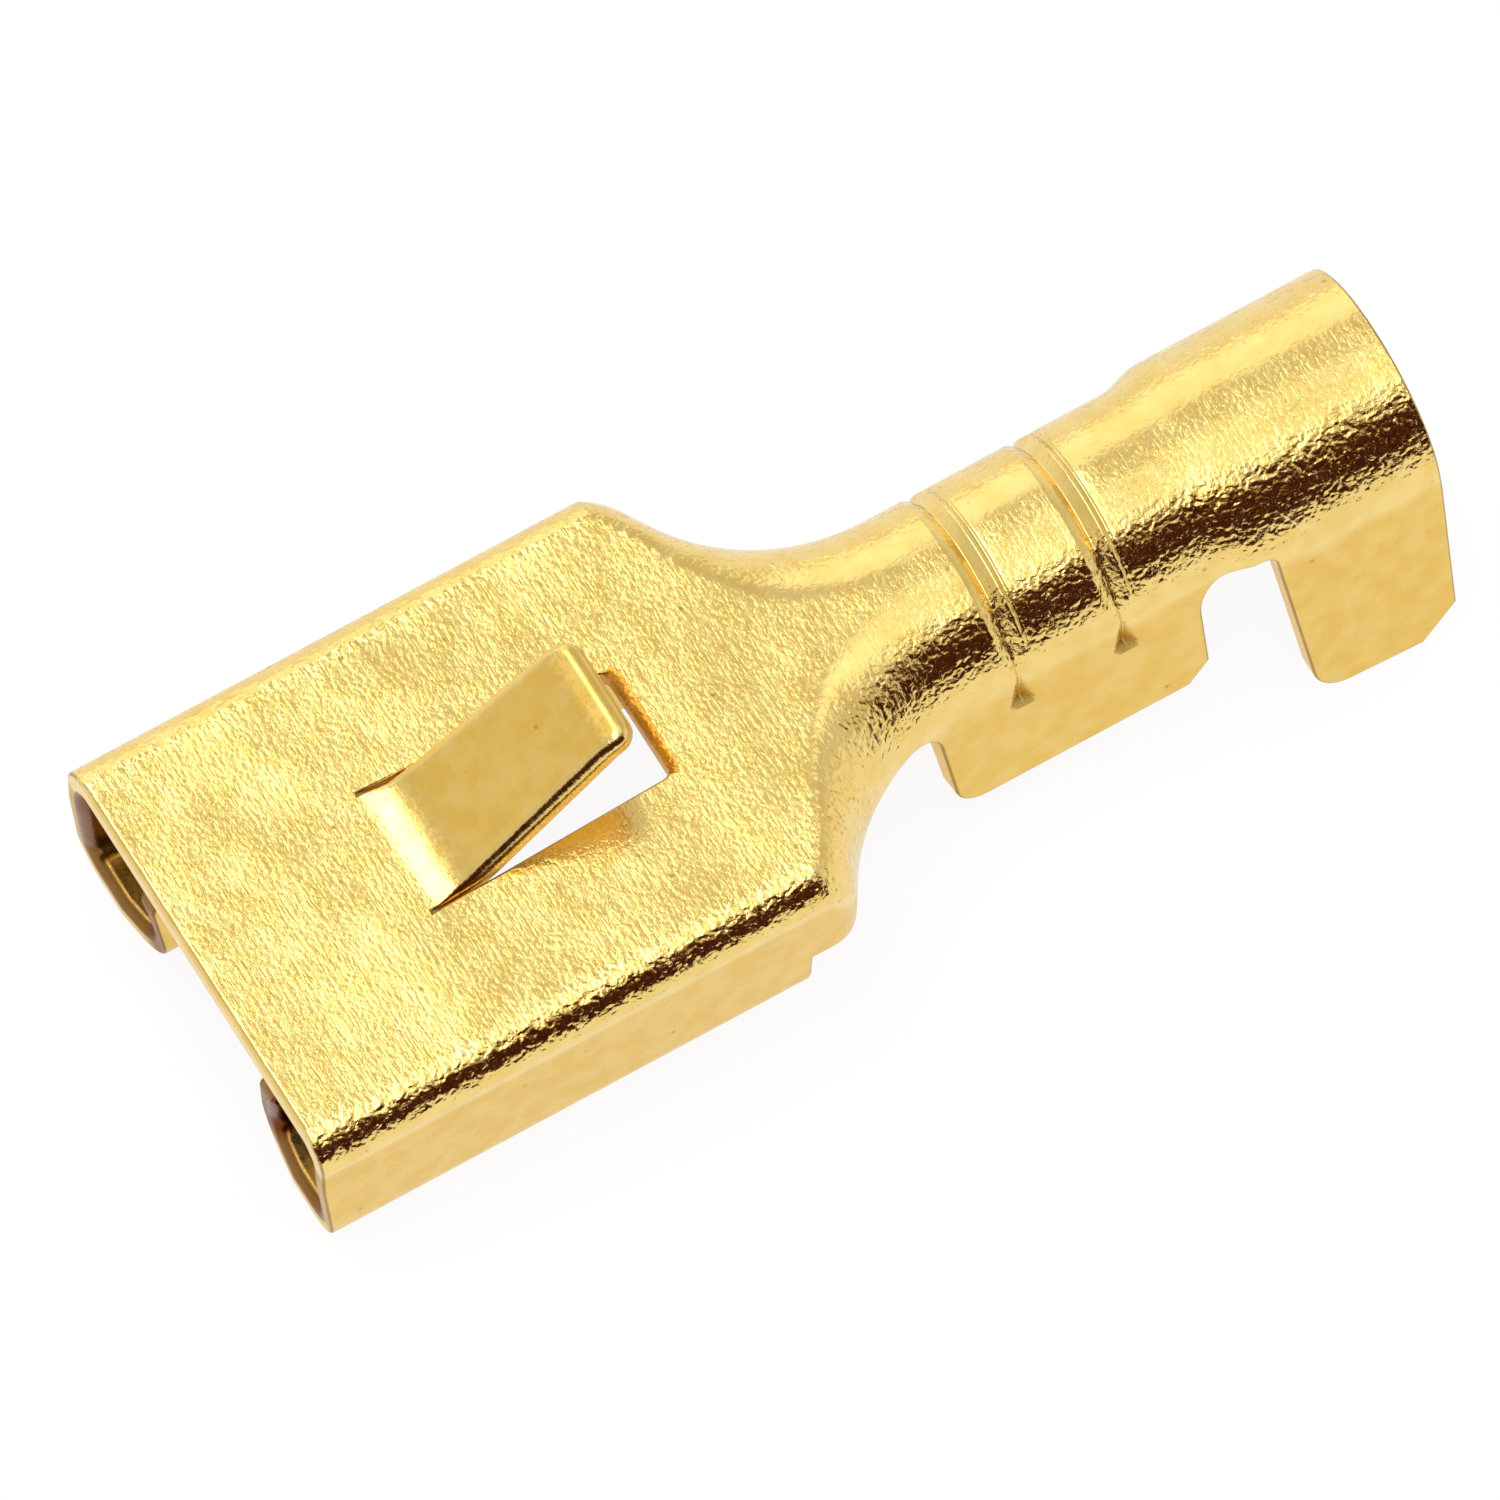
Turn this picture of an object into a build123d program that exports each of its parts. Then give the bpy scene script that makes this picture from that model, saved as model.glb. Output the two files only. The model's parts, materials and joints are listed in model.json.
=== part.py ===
from build123d import *
import math
import os

# A female spade terminal, folded from one flat strip of brass.
# Every size is in millimetres. The strip is modelled face up: X runs from the mouth to the wire end,
# Y runs across, and the outer face of the flat floor is at Z = 0 with all folds below it.
# The finished fold is then laid down on its open side, as it comes to rest on a table.

# Sheet
sheet = 0.40
overall_length = 20.45

# Receptacle that takes the tab
tab_width = 6.30
tab_thickness = 0.80
tab_side_clearance = 0.28
tab_gap_clearance = 0.05
receptacle_length = 8.50
receptacle_height = 3.30
floor_bend_radius = 0.62
roll_bend_radius = 0.72
curl_radius = 0.66
curl_slot_half = 1.36
curl_lean = 0.26
mouth_chamfer = 0.10
roll_slant = 0.14
curl_setback = 0.17
curl_setback_width = 1.20

# Locking lance and the window that it was lifted from
lance_root_share = 0.408
lance_root_width = 2.22
lance_tip_width = 1.96
lance_lift = 1.96
lance_heel = 0.30
lance_tip_length = 0.45
lance_tip_rise = 0.12
lance_root_radius = 1.60
lance_tip_radius = 0.90
lance_corner_radius = 0.30
window_side_clearance = 0.03
window_end_width = 1.97
window_end_gap = 0.65
window_rear_margin = 0.81
window_corner_radius = 0.16

# Neck between the receptacle and the barrels. Its share is that of the length behind the receptacle
neck_share = 0.335
neck_lead = 0.30
neck_wall_depth = 2.10
neck_shoulder = 0.75
neck_corner_radius = 0.70
neck_step_length = 0.45
neck_step_radius = 0.25
neck_channel_depth = 1.55
neck_dip_radius = 0.60

# Barrel that is crimped on the bared wire. Its share is that of the length behind the receptacle
wire_wing_share = 0.383
wire_wing_lead = 0.72
wire_barrel_radius = 1.72
wire_splay = 8.5
wire_wing_depth = 3.94
wire_wing_lean = 0.22
wire_corner_radius = 0.50
wire_corner_chamfer = 0.38

# Stamped serrations across the wire barrel. Their shares are those of its wings' length
groove_first_share = 0.327
groove_pitch_share = 0.393
groove_count = 2
groove_depth = 0.15
groove_width = 0.50
groove_reach = 2.10

# Notch and flare between the two barrels
notch_depth = 1.46
notch_width = 1.22
notch_front_radius = 0.80
notch_rear_radius = 0.22
flare_length = 0.80

# Barrel that grips the insulation
insulation_barrel_radius = 1.98
insulation_splay = 10.0
insulation_wing_depth = 5.52
insulation_wing_lean = 0.34
insulation_front_rise = 0.15
insulation_corner_radius = 0.60
insulation_corner_chamfer = 0.62
insulation_end_lean = 0.12

# Values that follow from the sizes above
receptacle_half = tab_width / 2 + tab_side_clearance + sheet
tip_drop = sheet + tab_thickness + tab_gap_clearance
lance_root = lance_root_share * receptacle_length
window_length = receptacle_length - window_rear_margin - lance_root
lance_length = window_length - window_end_gap
rear_length = overall_length - receptacle_length
neck_start = receptacle_length
neck_length = neck_share * rear_length
neck_run = neck_length - neck_lead
neck_drop = receptacle_half - neck_corner_radius - wire_barrel_radius
wire_barrel_start = neck_start + neck_length
wire_wing_front = wire_barrel_start - wire_wing_lead
wire_wing_length = wire_wing_share * rear_length
wire_wing_end = wire_wing_front + wire_wing_length
groove_first = wire_wing_front + groove_first_share * wire_wing_length
groove_pitch = groove_pitch_share * wire_wing_length
insulation_wing_front = wire_wing_end + notch_width
flare_start = wire_wing_end + (notch_width - flare_length) / 2
flare_end = flare_start + flare_length

# The sweep touches the neck's convex corner and runs out level at the start of the wire barrel
sweep_reach = neck_run**2 + neck_drop**2 - neck_corner_radius**2
neck_sweep_radius = sweep_reach / (2 * (neck_drop + neck_corner_radius))

wire_barrel = (wire_barrel_radius, wire_splay)
insulation_barrel = (insulation_barrel_radius, insulation_splay)
margin = 1.0
leg_depth = insulation_wing_depth + margin

# The crown is the middle stretch of a fully round section, given as an angle to each side of the top
crown = 6.0

# Number of sections along the curved stretches
corner_steps = 4
sweep_steps = 7
flare_steps = 4


def section_plane(x):
    """The plane across the strip at x: its own x runs along Y and its own y along Z."""
    return Plane(origin=(x, 0, 0), x_dir=(0, 1, 0), z_dir=(1, 0, 0))


def side_plane(y):
    """The plane along the strip at y: its own x runs along X and its own y along Z."""
    return Plane(origin=(0, y, 0), x_dir=(1, 0, 0), z_dir=(0, -1, 0))


def left_normal(a, b):
    """The unit normal on the left of the run from a to b."""
    dx, dy = b[0] - a[0], b[1] - a[1]
    size = math.hypot(dx, dy)
    return (-dy / size, dx / size)


def offset_points(points, distance):
    """The corner points of an open path moved to the left by distance."""
    normals = [left_normal(a, b) for a, b in zip(points, points[1:])]
    moved = []
    for i, (x, y) in enumerate(points):
        before = normals[max(i - 1, 0)]
        after = normals[min(i, len(normals) - 1)]
        share = distance / (1 + before[0] * after[0] + before[1] * after[1])
        moved.append((x + share * (before[0] + after[0]), y + share * (before[1] + after[1])))
    return moved


def turns_left(a, b, c):
    """True where the path a, b, c turns to the left."""
    return (b[0] - a[0]) * (c[1] - b[1]) - (b[1] - a[1]) * (c[0] - b[0]) > 0


def folded_strip(points, radii):
    """The cut face of a bent sheet whose outer face follows points, with the metal on their right.

    Each corner has the radius of its outer side, and the inner side is concentric with it.
    """
    inner = offset_points(points, -sheet)
    inner_radii = []
    for corner, radius in zip(zip(points, points[1:], points[2:]), radii):
        inner_radii.append(radius + sheet if turns_left(*corner) else radius - sheet)
    outer_path = FilletPolyline(*points, radius=radii)
    inner_path = FilletPolyline(*inner, radius=inner_radii)
    ends = [Line(points[0], inner[0]), Line(points[-1], inner[-1])]
    return make_face([*outer_path.edges(), *inner_path.edges(), *ends])


def receptacle_section():
    """Half of the receptacle's section: floor, bend, wall and the curl that points back at the floor."""
    points = [
        (0, 0),
        (receptacle_half, 0),
        (receptacle_half, -receptacle_height),
        (curl_slot_half, -receptacle_height),
        (curl_slot_half + curl_lean, -tip_drop),
    ]
    return folded_strip(points, [floor_bend_radius, roll_bend_radius, curl_radius])


def receptacle():
    """The floor and its two rolled sides, with both ends of each roll cut back a little."""
    half = extrude(section_plane(0) * receptacle_section(), receptacle_length)
    body = half + mirror(half, Plane.XZ)
    body -= mouth_bevel()
    for side in (1, -1):
        body -= curl_lead_in(side)
    for cut in roll_end_cuts():
        body -= cut
    return body


def across(points, half_width):
    """A prism with the given side view that reaches half_width to both sides of the strip."""
    face = make_face(Polyline(*points, close=True).edges())
    return extrude(side_plane(0) * face, half_width, both=True)


def mouth_bevel():
    """The wedge that eases the outer edge of the floor at the mouth."""
    edge = [(-margin, margin), (mouth_chamfer + margin, margin)]
    edge += [(mouth_chamfer, 0), (0, -mouth_chamfer), (-margin, -mouth_chamfer - margin)]
    return across(edge, receptacle_half + margin)


def roll_end_cuts():
    """The wedges that slope both ends of the rolls, so that they are shorter at the bottom."""
    top = -tip_drop
    low = -receptacle_height
    reach = roll_slant * (low - margin - top) / (low - top)
    front = [(-margin, top), (0, top), (reach, low - margin), (-margin, low - margin)]
    back = [(receptacle_length - x, z) for x, z in front]
    return [across(front, receptacle_half + margin), across(back, receptacle_half + margin)]


def curl_lead_in(side):
    """The prism that sets the front of one curl back from the mouth, for the tab to find its way."""
    inner = curl_slot_half - margin
    outer = curl_slot_half + curl_setback_width
    slope = curl_setback / curl_setback_width
    plan = [(-margin, outer + margin), (roll_slant, outer), (roll_slant + slope * (outer - inner), inner)]
    plan += [(-margin, inner)]
    face = make_face(Polyline(*[(x, side * y) for x, y in plan], close=True).edges())
    rise = receptacle_height + margin - tip_drop
    return extrude(Plane.XY.offset(-receptacle_height - margin) * face, rise)


def window():
    """The opening in the floor that the lance leaves behind, narrower towards its closed end."""
    root_half = lance_root_width / 2 + window_side_clearance
    end_half = window_end_width / 2
    end = lance_root + window_length
    plan = [(lance_root, -root_half), (end, -end_half), (end, end_half), (lance_root, root_half)]
    outline = make_face(Polyline(*plan, close=True).edges())
    outline = fillet(outline.vertices().group_by(Axis.X)[-1], window_corner_radius)
    return extrude(Plane.XY * outline, 2 * sheet, both=True)


def lance():
    """The tongue that stands up from the floor with its free end towards the wire."""
    tip = lance_root + lance_length
    points = [
        (lance_root - 2 * sheet, 0),
        (lance_root + lance_heel, 0),
        (tip - lance_tip_length, lance_lift),
        (tip, lance_lift + lance_tip_rise),
    ]
    face = folded_strip(points, [lance_root_radius, lance_tip_radius])
    return extrude(side_plane(0) * face, lance_root_width, both=True) & lance_outline(tip)


def lance_outline(tip):
    """The plan view of the lance as a tall prism, narrower and with rounded corners at its free end."""
    heel = lance_root - 2 * sheet
    root_half, tip_half = lance_root_width / 2, lance_tip_width / 2
    plan = [(heel, -root_half), (lance_root, -root_half), (tip, -tip_half)]
    plan += [(x, -y) for x, y in reversed(plan)]
    outline = make_face(Polyline(*plan, close=True).edges())
    outline = fillet(outline.vertices().group_by(Axis.X)[-1], lance_corner_radius)
    return extrude(Plane.XY * outline, 2 * lance_lift, both=True)


def channel_section(x, centre, height, radius, splay):
    """The filled section of the channel at x: a rounded top on two straight legs that spread apart.

    centre is the distance of each corner's centre from the middle, and height its level. Where centre
    is 0 the whole top is one round arc.
    """

    def on_bend(angle):
        return (centre + radius * math.cos(angle), height + radius * math.sin(angle))

    low = math.radians(splay)
    high = math.radians(90 if centre else 90 - crown)
    start, middle, end = [on_bend(angle) for angle in (low, (low + high) / 2, high)]
    foot = (start[0] + (start[1] + leg_depth) * math.tan(low), -leg_depth)
    half = [Line(foot, start), ThreePointArc(start, middle, end)]
    top = Line(end, mirrored(end)) if centre else ThreePointArc(end, (0, height + radius), mirrored(end))
    other = [Line(mirrored(foot), mirrored(start)), ThreePointArc(*map(mirrored, (start, middle, end)))]
    return section_plane(x) * make_face([*half, top, *other, Line(mirrored(foot), foot)])


def mirrored(point):
    """The same point on the other side of the section's middle."""
    return (-point[0], point[1])


def ease(share):
    """A smooth rise from 0 to 1 with level ends."""
    return 0.5 - 0.5 * math.cos(math.pi * min(max(share, 0), 1))


def neck_centres():
    """The plan centres of the neck's convex corner and of the long sweep that follows it."""
    corner = (neck_start + neck_lead, receptacle_half - neck_corner_radius)
    sweep = (wire_barrel_start, wire_barrel_radius + neck_sweep_radius)
    return corner, sweep


def neck_turn():
    """The plan angle through which the neck's outline turns at its convex corner, in radians."""
    corner, sweep = neck_centres()
    return math.atan2(sweep[0] - corner[0], sweep[1] - corner[1])


def neck_outline(inset):
    """Points (x, half width) down the neck for its outer face, or for a face that lies inset inside it."""
    corner, sweep = neck_centres()
    convex, concave = neck_corner_radius - inset, neck_sweep_radius + inset
    points = [(neck_start, receptacle_half - inset)]
    for i in range(corner_steps + 1):
        angle = neck_turn() * i / corner_steps
        points.append((corner[0] + convex * math.sin(angle), corner[1] + convex * math.cos(angle)))
    for i in range(1, sweep_steps + 1):
        angle = neck_turn() * (1 - i / sweep_steps)
        points.append((sweep[0] - concave * math.sin(angle), sweep[1] - concave * math.cos(angle)))
    return points


def neck_radius(x):
    """The outer radius of the bend at x, which opens from the receptacle's bend to the round barrel."""
    corner, sweep = neck_centres()
    share = min(max((x - corner[0]) / (sweep[0] - corner[0]), 0), 1)
    start = floor_bend_radius / receptacle_half
    ratio = start + (1 - start) * math.sin(math.pi / 2 * share)
    return ratio * outer_half_width(x)


def outer_half_width(x):
    """The half width of the neck's outer face at x."""
    corner, sweep = neck_centres()
    joint = corner[0] + neck_corner_radius * math.sin(neck_turn())
    if x <= corner[0]:
        return receptacle_half
    if x <= joint:
        return corner[1] + math.sqrt(neck_corner_radius**2 - (x - corner[0]) ** 2)
    return sweep[1] - math.sqrt(neck_sweep_radius**2 - (sweep[0] - x) ** 2)


def neck_splay(x):
    """The spread of the neck's walls at x, which grows to that of the wire barrel."""
    return wire_splay * ease((x - neck_start) / (wire_barrel_start - neck_start))


def neck_body(inset):
    """The filled neck, from the receptacle to the wire barrel."""
    sections = []
    for x, half in neck_outline(inset)[:-1]:
        radius = neck_radius(x)
        sections.append(channel_section(x, half - radius + inset, -radius, radius - inset, neck_splay(x)))
    return loft([*sections, barrel_section(wire_barrel_start, wire_barrel, inset)])


def barrel_section(x, barrel, inset, press=0):
    """The filled section of a barrel at x, where press is how far a serration stands in."""
    radius, splay = barrel
    return channel_section(x, 0, -radius, radius - inset - press, splay)


def barrel_body(inset):
    """The filled barrels: two straight round stretches with the flare between them."""
    wire = extrude(barrel_section(wire_barrel_start, wire_barrel, inset), flare_start - wire_barrel_start)
    insulation = extrude(barrel_section(flare_end, insulation_barrel, inset), overall_length - flare_end)
    return wire + flare(inset) + insulation


def flare(inset):
    """The filled stretch that widens from the wire barrel to the insulation barrel."""
    sections = []
    for i in range(flare_steps + 1):
        share = ease(i / flare_steps)
        mixed = [a + share * (b - a) for a, b in zip(wire_barrel, insulation_barrel)]
        sections.append(barrel_section(flare_start + i / flare_steps * flare_length, mixed, inset))
    return loft(sections, ruled=True)


def serrated(body, inset):
    """The filled barrels with the serrations, which stop part of the way down the sides."""
    for i in range(groove_count):
        x = groove_first + i * groove_pitch
        upward = (Align.CENTER, Align.CENTER, Align.MIN)
        cell = Pos(x, 0, -groove_reach) * Box(groove_width, 4 * leg_depth, 2 * leg_depth, align=upward)
        stations = [(x - groove_width / 2, 0), (x, groove_depth), (x + groove_width / 2, 0)]
        rings = [barrel_section(at, wire_barrel, inset, press) for at, press in stations]
        pressed = loft(rings, ruled=True)
        body = body - cell + (pressed & cell)
    return body


def channel():
    """The neck and both barrels as an open channel whose legs are still uncut."""
    outer = neck_body(0) + serrated(barrel_body(0), 0)
    inner = neck_body(sheet) + serrated(barrel_body(sheet), sheet)
    return outer - inner


def insulation_edge():
    """The side view of the rear wings' cut edge: its top, its low front corner and its low rear corner."""
    return [
        (insulation_wing_front, -notch_depth),
        (insulation_wing_front + insulation_wing_lean, insulation_front_rise - insulation_wing_depth),
        (overall_length - insulation_end_lean, -insulation_wing_depth),
    ]


def wing_outline():
    """The side view of the neck and the wings, as a face in the plane along the strip."""
    shoulder_end = neck_start + neck_shoulder
    channel_start = shoulder_end + neck_step_length
    points = [
        (neck_start, margin),
        (neck_start, -neck_wall_depth),
        (shoulder_end, -neck_wall_depth),
        (channel_start, -neck_channel_depth),
        (wire_wing_front, -neck_channel_depth),
        (wire_wing_front + wire_wing_lean, -wire_wing_depth),
        (wire_wing_end, -wire_wing_depth),
        (wire_wing_end, -notch_depth),
        *insulation_edge(),
        (overall_length, -insulation_barrel_radius),
        (overall_length, margin),
    ]
    outline = make_face(Polyline(*points, close=True).edges())
    rounded = [
        (points[2], neck_step_radius),
        (points[3], neck_dip_radius),
        (points[4], neck_dip_radius),
        (points[5], wire_corner_radius),
        (points[7], notch_front_radius),
        (points[8], notch_rear_radius),
        (points[9], insulation_corner_radius),
    ]
    for place, radius in rounded:
        outline = fillet(nearest_vertex(outline, place), radius)
    outline = chamfer(nearest_vertex(outline, points[6]), wire_corner_chamfer)
    return chamfer(nearest_vertex(outline, points[10]), insulation_corner_chamfer)


def nearest_vertex(face, place):
    """The corner of a flat face that lies nearest to place."""
    return min(face.vertices(), key=lambda v: math.hypot(v.X - place[0], v.Y - place[1]))


def terminal():
    """The whole folded strip, face up."""
    wings = extrude(side_plane(0) * wing_outline(), 2 * leg_depth, both=True)
    return receptacle() - window() + lance() + (channel() & wings)


def lay_down(part):
    """The part pitched on to the fronts of its rolls and its rear wings' front corners, over the origin."""
    corner_x, corner_z = offset_points(insulation_edge(), insulation_corner_radius)[1]
    reach = corner_x - roll_slant
    drop = -corner_z - receptacle_height
    pitch = math.atan2(drop, reach) + math.asin(insulation_corner_radius / math.hypot(reach, drop))
    turned = Rot(0, -math.degrees(pitch), 0) * part
    box = turned.bounding_box()
    return Pos(-box.center().X, 0, -box.min.Z) * turned


os.makedirs("parts", exist_ok=True)
export_step(lay_down(terminal()), "parts/terminal.step")
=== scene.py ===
"""The looks of a brass spade terminal that is cut and folded from one strip of sheet."""

import json
import logging
import math
from dataclasses import dataclass, field
from enum import Enum
from typing import Sequence

import bpy
import numpy as np
from mathutils import Matrix, Vector
from mathutils.geometry import delaunay_2d_cdt


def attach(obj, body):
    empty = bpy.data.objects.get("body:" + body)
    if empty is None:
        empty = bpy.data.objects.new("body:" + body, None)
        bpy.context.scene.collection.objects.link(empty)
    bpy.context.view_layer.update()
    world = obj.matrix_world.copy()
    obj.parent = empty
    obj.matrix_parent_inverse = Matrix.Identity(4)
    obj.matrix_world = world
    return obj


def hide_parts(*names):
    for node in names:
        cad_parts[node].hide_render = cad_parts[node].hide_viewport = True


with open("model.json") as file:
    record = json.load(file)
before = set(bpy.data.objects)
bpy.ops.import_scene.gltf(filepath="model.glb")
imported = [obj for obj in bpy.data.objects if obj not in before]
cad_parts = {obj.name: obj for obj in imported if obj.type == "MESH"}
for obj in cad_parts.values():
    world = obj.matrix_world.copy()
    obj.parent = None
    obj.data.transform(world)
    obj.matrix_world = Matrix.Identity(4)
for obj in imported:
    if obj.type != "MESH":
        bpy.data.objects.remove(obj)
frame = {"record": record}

MM = 0.001
CAD_NODE = "terminal"
BODY = "root"
STRIP_UV = "strip"
EDGE_MASK = "edge"
# The mask of the painted shade on the cut rims.
SKIN_MASK = "skin"
# The mask of the painted shade inside the rolls.
PAINTED_ROLL_SHADE_MASK = "painted_roll_shade"

# Lengths on the flat strip, in millimetres.
TINY = 1e-6
SHORT_RUN = 1e-4
MERGE_REACH = 1e-7
NORMAL_STEP = 0.004

# The longest mitre for an inset of 1, and how many points are tried at a time.
MITRE_LIMIT = 2.0
BLOCK = 2000

Pair = tuple[float, float]
Colour = tuple[float, float, float]
Socket = bpy.types.NodeSocket
Value = float | Socket
Tint = Colour | Socket

log = logging.getLogger("terminal")


class Side(Enum):
    """The two faces of the sheet."""

    OUTER = 1
    INNER = -1


def smooth_step(share: np.ndarray) -> np.ndarray:
    """A smooth rise from 0 to 1 with level ends."""
    held = np.clip(share, 0.0, 1.0)
    return held * held * (3.0 - 2.0 * held)


def half_cosine(share: np.ndarray) -> np.ndarray:
    """The rise from 0 to 1 that follows half a cosine wave."""
    return 0.5 - 0.5 * np.cos(np.pi * np.clip(share, 0.0, 1.0))


class BentPath:
    """A flat path of straight runs joined by round bends, walked by its length."""

    def __init__(self, points: Sequence[Pair], radii: Sequence[float]) -> None:
        """Lay the path out.

        Args:
            points: The corners, from the first end to the last.
            radii: The bend radius at each inner corner, 0 for a sharp one.
        """
        corners = np.asarray(points, float)
        runs = np.diff(corners, axis=0)
        lengths = np.hypot(runs[:, 0], runs[:, 1])
        ways = runs / lengths[:, None]
        self.starts: list[float] = []
        self.origins: list[np.ndarray] = []
        self.headings: list[float] = []
        self.curves: list[float] = []
        walked, used = 0.0, 0.0
        for i, way in enumerate(ways):
            radius = radii[i] if i < len(radii) else 0.0
            turn = 0.0
            if i < len(ways) - 1:
                after = ways[i + 1]
                turn = math.atan2(way[0] * after[1] - way[1] * after[0], float(way @ after))
            cut = radius * math.tan(abs(turn) / 2)
            heading = math.atan2(way[1], way[0])
            self._add(walked, corners[i] + used * way, heading, 0.0)
            walked += lengths[i] - used - cut
            if radius > 0.0 and i < len(ways) - 1:
                bend = math.copysign(1 / radius, turn)
                self._add(walked, corners[i + 1] - cut * way, heading, bend)
                walked += radius * abs(turn)
            used = cut
        self.length = walked

    def _add(self, start: float, origin: np.ndarray, heading: float, curve: float) -> None:
        """Note one run or bend that begins after start.

        Args:
            start: The length walked before it.
            origin: Its first point.
            heading: Its first direction.
            curve: One over its radius, or 0 for a straight run.
        """
        self.starts.append(start)
        self.origins.append(origin)
        self.headings.append(heading)
        self.curves.append(curve)

    def at(self, walked: np.ndarray) -> np.ndarray:
        """The points of the path at the walked lengths.

        Args:
            walked: Lengths from the path's first point.

        Returns:
            An array with one (x, y) row for each length.
        """
        walked = np.asarray(walked, float)
        index = np.searchsorted(self.starts, walked, side="right") - 1
        index = np.clip(index, 0, len(self.starts) - 1)
        origin = np.asarray(self.origins)[index]
        heading = np.asarray(self.headings)[index]
        curve = np.asarray(self.curves)[index]
        gone = walked - np.asarray(self.starts)[index]
        bent = np.abs(curve) > 0
        safe = np.where(bent, curve, 1.0)
        ahead = heading + curve * gone
        dx = np.where(bent, (np.sin(ahead) - np.sin(heading)) / safe, gone * np.cos(heading))
        dy = np.where(bent, (np.cos(heading) - np.cos(ahead)) / safe, gone * np.sin(heading))
        return origin + np.stack([dx, dy], axis=-1)

    def sampled(self, step: float, bend_steps: int = 6) -> np.ndarray:
        """Points along the whole path, closer together in its bends.

        Args:
            step: The longest distance between neighbours on a straight run.
            bend_steps: The number of steps in each bend.

        Returns:
            The points, from the first end to the last.
        """
        ends = self.starts[1:] + [self.length]
        lengths: list[float] = []
        for start, end, curve in zip(self.starts, ends, self.curves):
            if end - start < TINY:
                continue
            count = bend_steps if curve else max(1, math.ceil((end - start) / step))
            lengths += [start + (end - start) * i / count for i in range(count)]
        return self.at(np.asarray(lengths + [self.length]))


@dataclass
class ReceptacleShape:
    """The box that takes the tab: floor, side walls and the two rolls, in millimetres."""

    length: float = 8.50
    half_width: float = 3.83
    height: float = 3.30
    floor_bend: float = 0.62
    roll_bend: float = 0.72
    curl_bend: float = 0.66
    slot_half: float = 1.36
    curl_lean: float = 0.26
    tip_drop: float = 1.25
    end_slant: float = 0.14
    curl_setback: float = 0.17
    curl_setback_width: float = 1.20
    curl_setback_level: float = 0.30
    curl_corner: float = 0.35
    # The painted shade inside the rolls: its strength on the walls and how it fades in.
    wall_shade: float = 0.70
    wall_fade: float = 0.30
    roll_fade: float = 0.50
    curl_fade: float = 0.60
    curl_power: float = 0.35
    section: BentPath = field(init=False)

    def __post_init__(self) -> None:
        """Lay out half of the section: floor, bend, wall, roll and curl."""
        corners = [
            (0.0, 0.0),
            (self.half_width, 0.0),
            (self.half_width, -self.height),
            (self.slot_half, -self.height),
            (self.slot_half + self.curl_lean, -self.tip_drop),
        ]
        self.section = BentPath(corners, [self.floor_bend, self.roll_bend, self.curl_bend])

    def slant(self, z: np.ndarray) -> np.ndarray:
        """How far the ends of the rolls slope in at each level z."""
        return self.end_slant * np.clip((-z - self.tip_drop) / (self.height - self.tip_drop), 0, 1)

    def front(self, across: np.ndarray) -> np.ndarray:
        """Where the front edge lies for each distance walked across the strip.

        Args:
            across: Distances from the floor's middle.

        Returns:
            One place along the strip for each.
        """
        y, z = self.section.at(across).T
        past = np.clip(self.slot_half + self.curl_setback_width - y, 0, None)
        slope = self.curl_setback / self.curl_setback_width
        setback = np.where(z < -self.tip_drop + self.curl_setback_level, slope * past, 0.0)
        near_tip = np.clip(1 - (self.section.length - across) / self.curl_corner, 0, 1)
        return self.slant(z) + setback + self.curl_corner * near_tip**2

    def back(self, across: np.ndarray) -> np.ndarray:
        """Where the rear edge of the rolls lies for each distance across the strip."""
        return self.length - self.slant(self.section.at(across)[:, 1])


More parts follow.
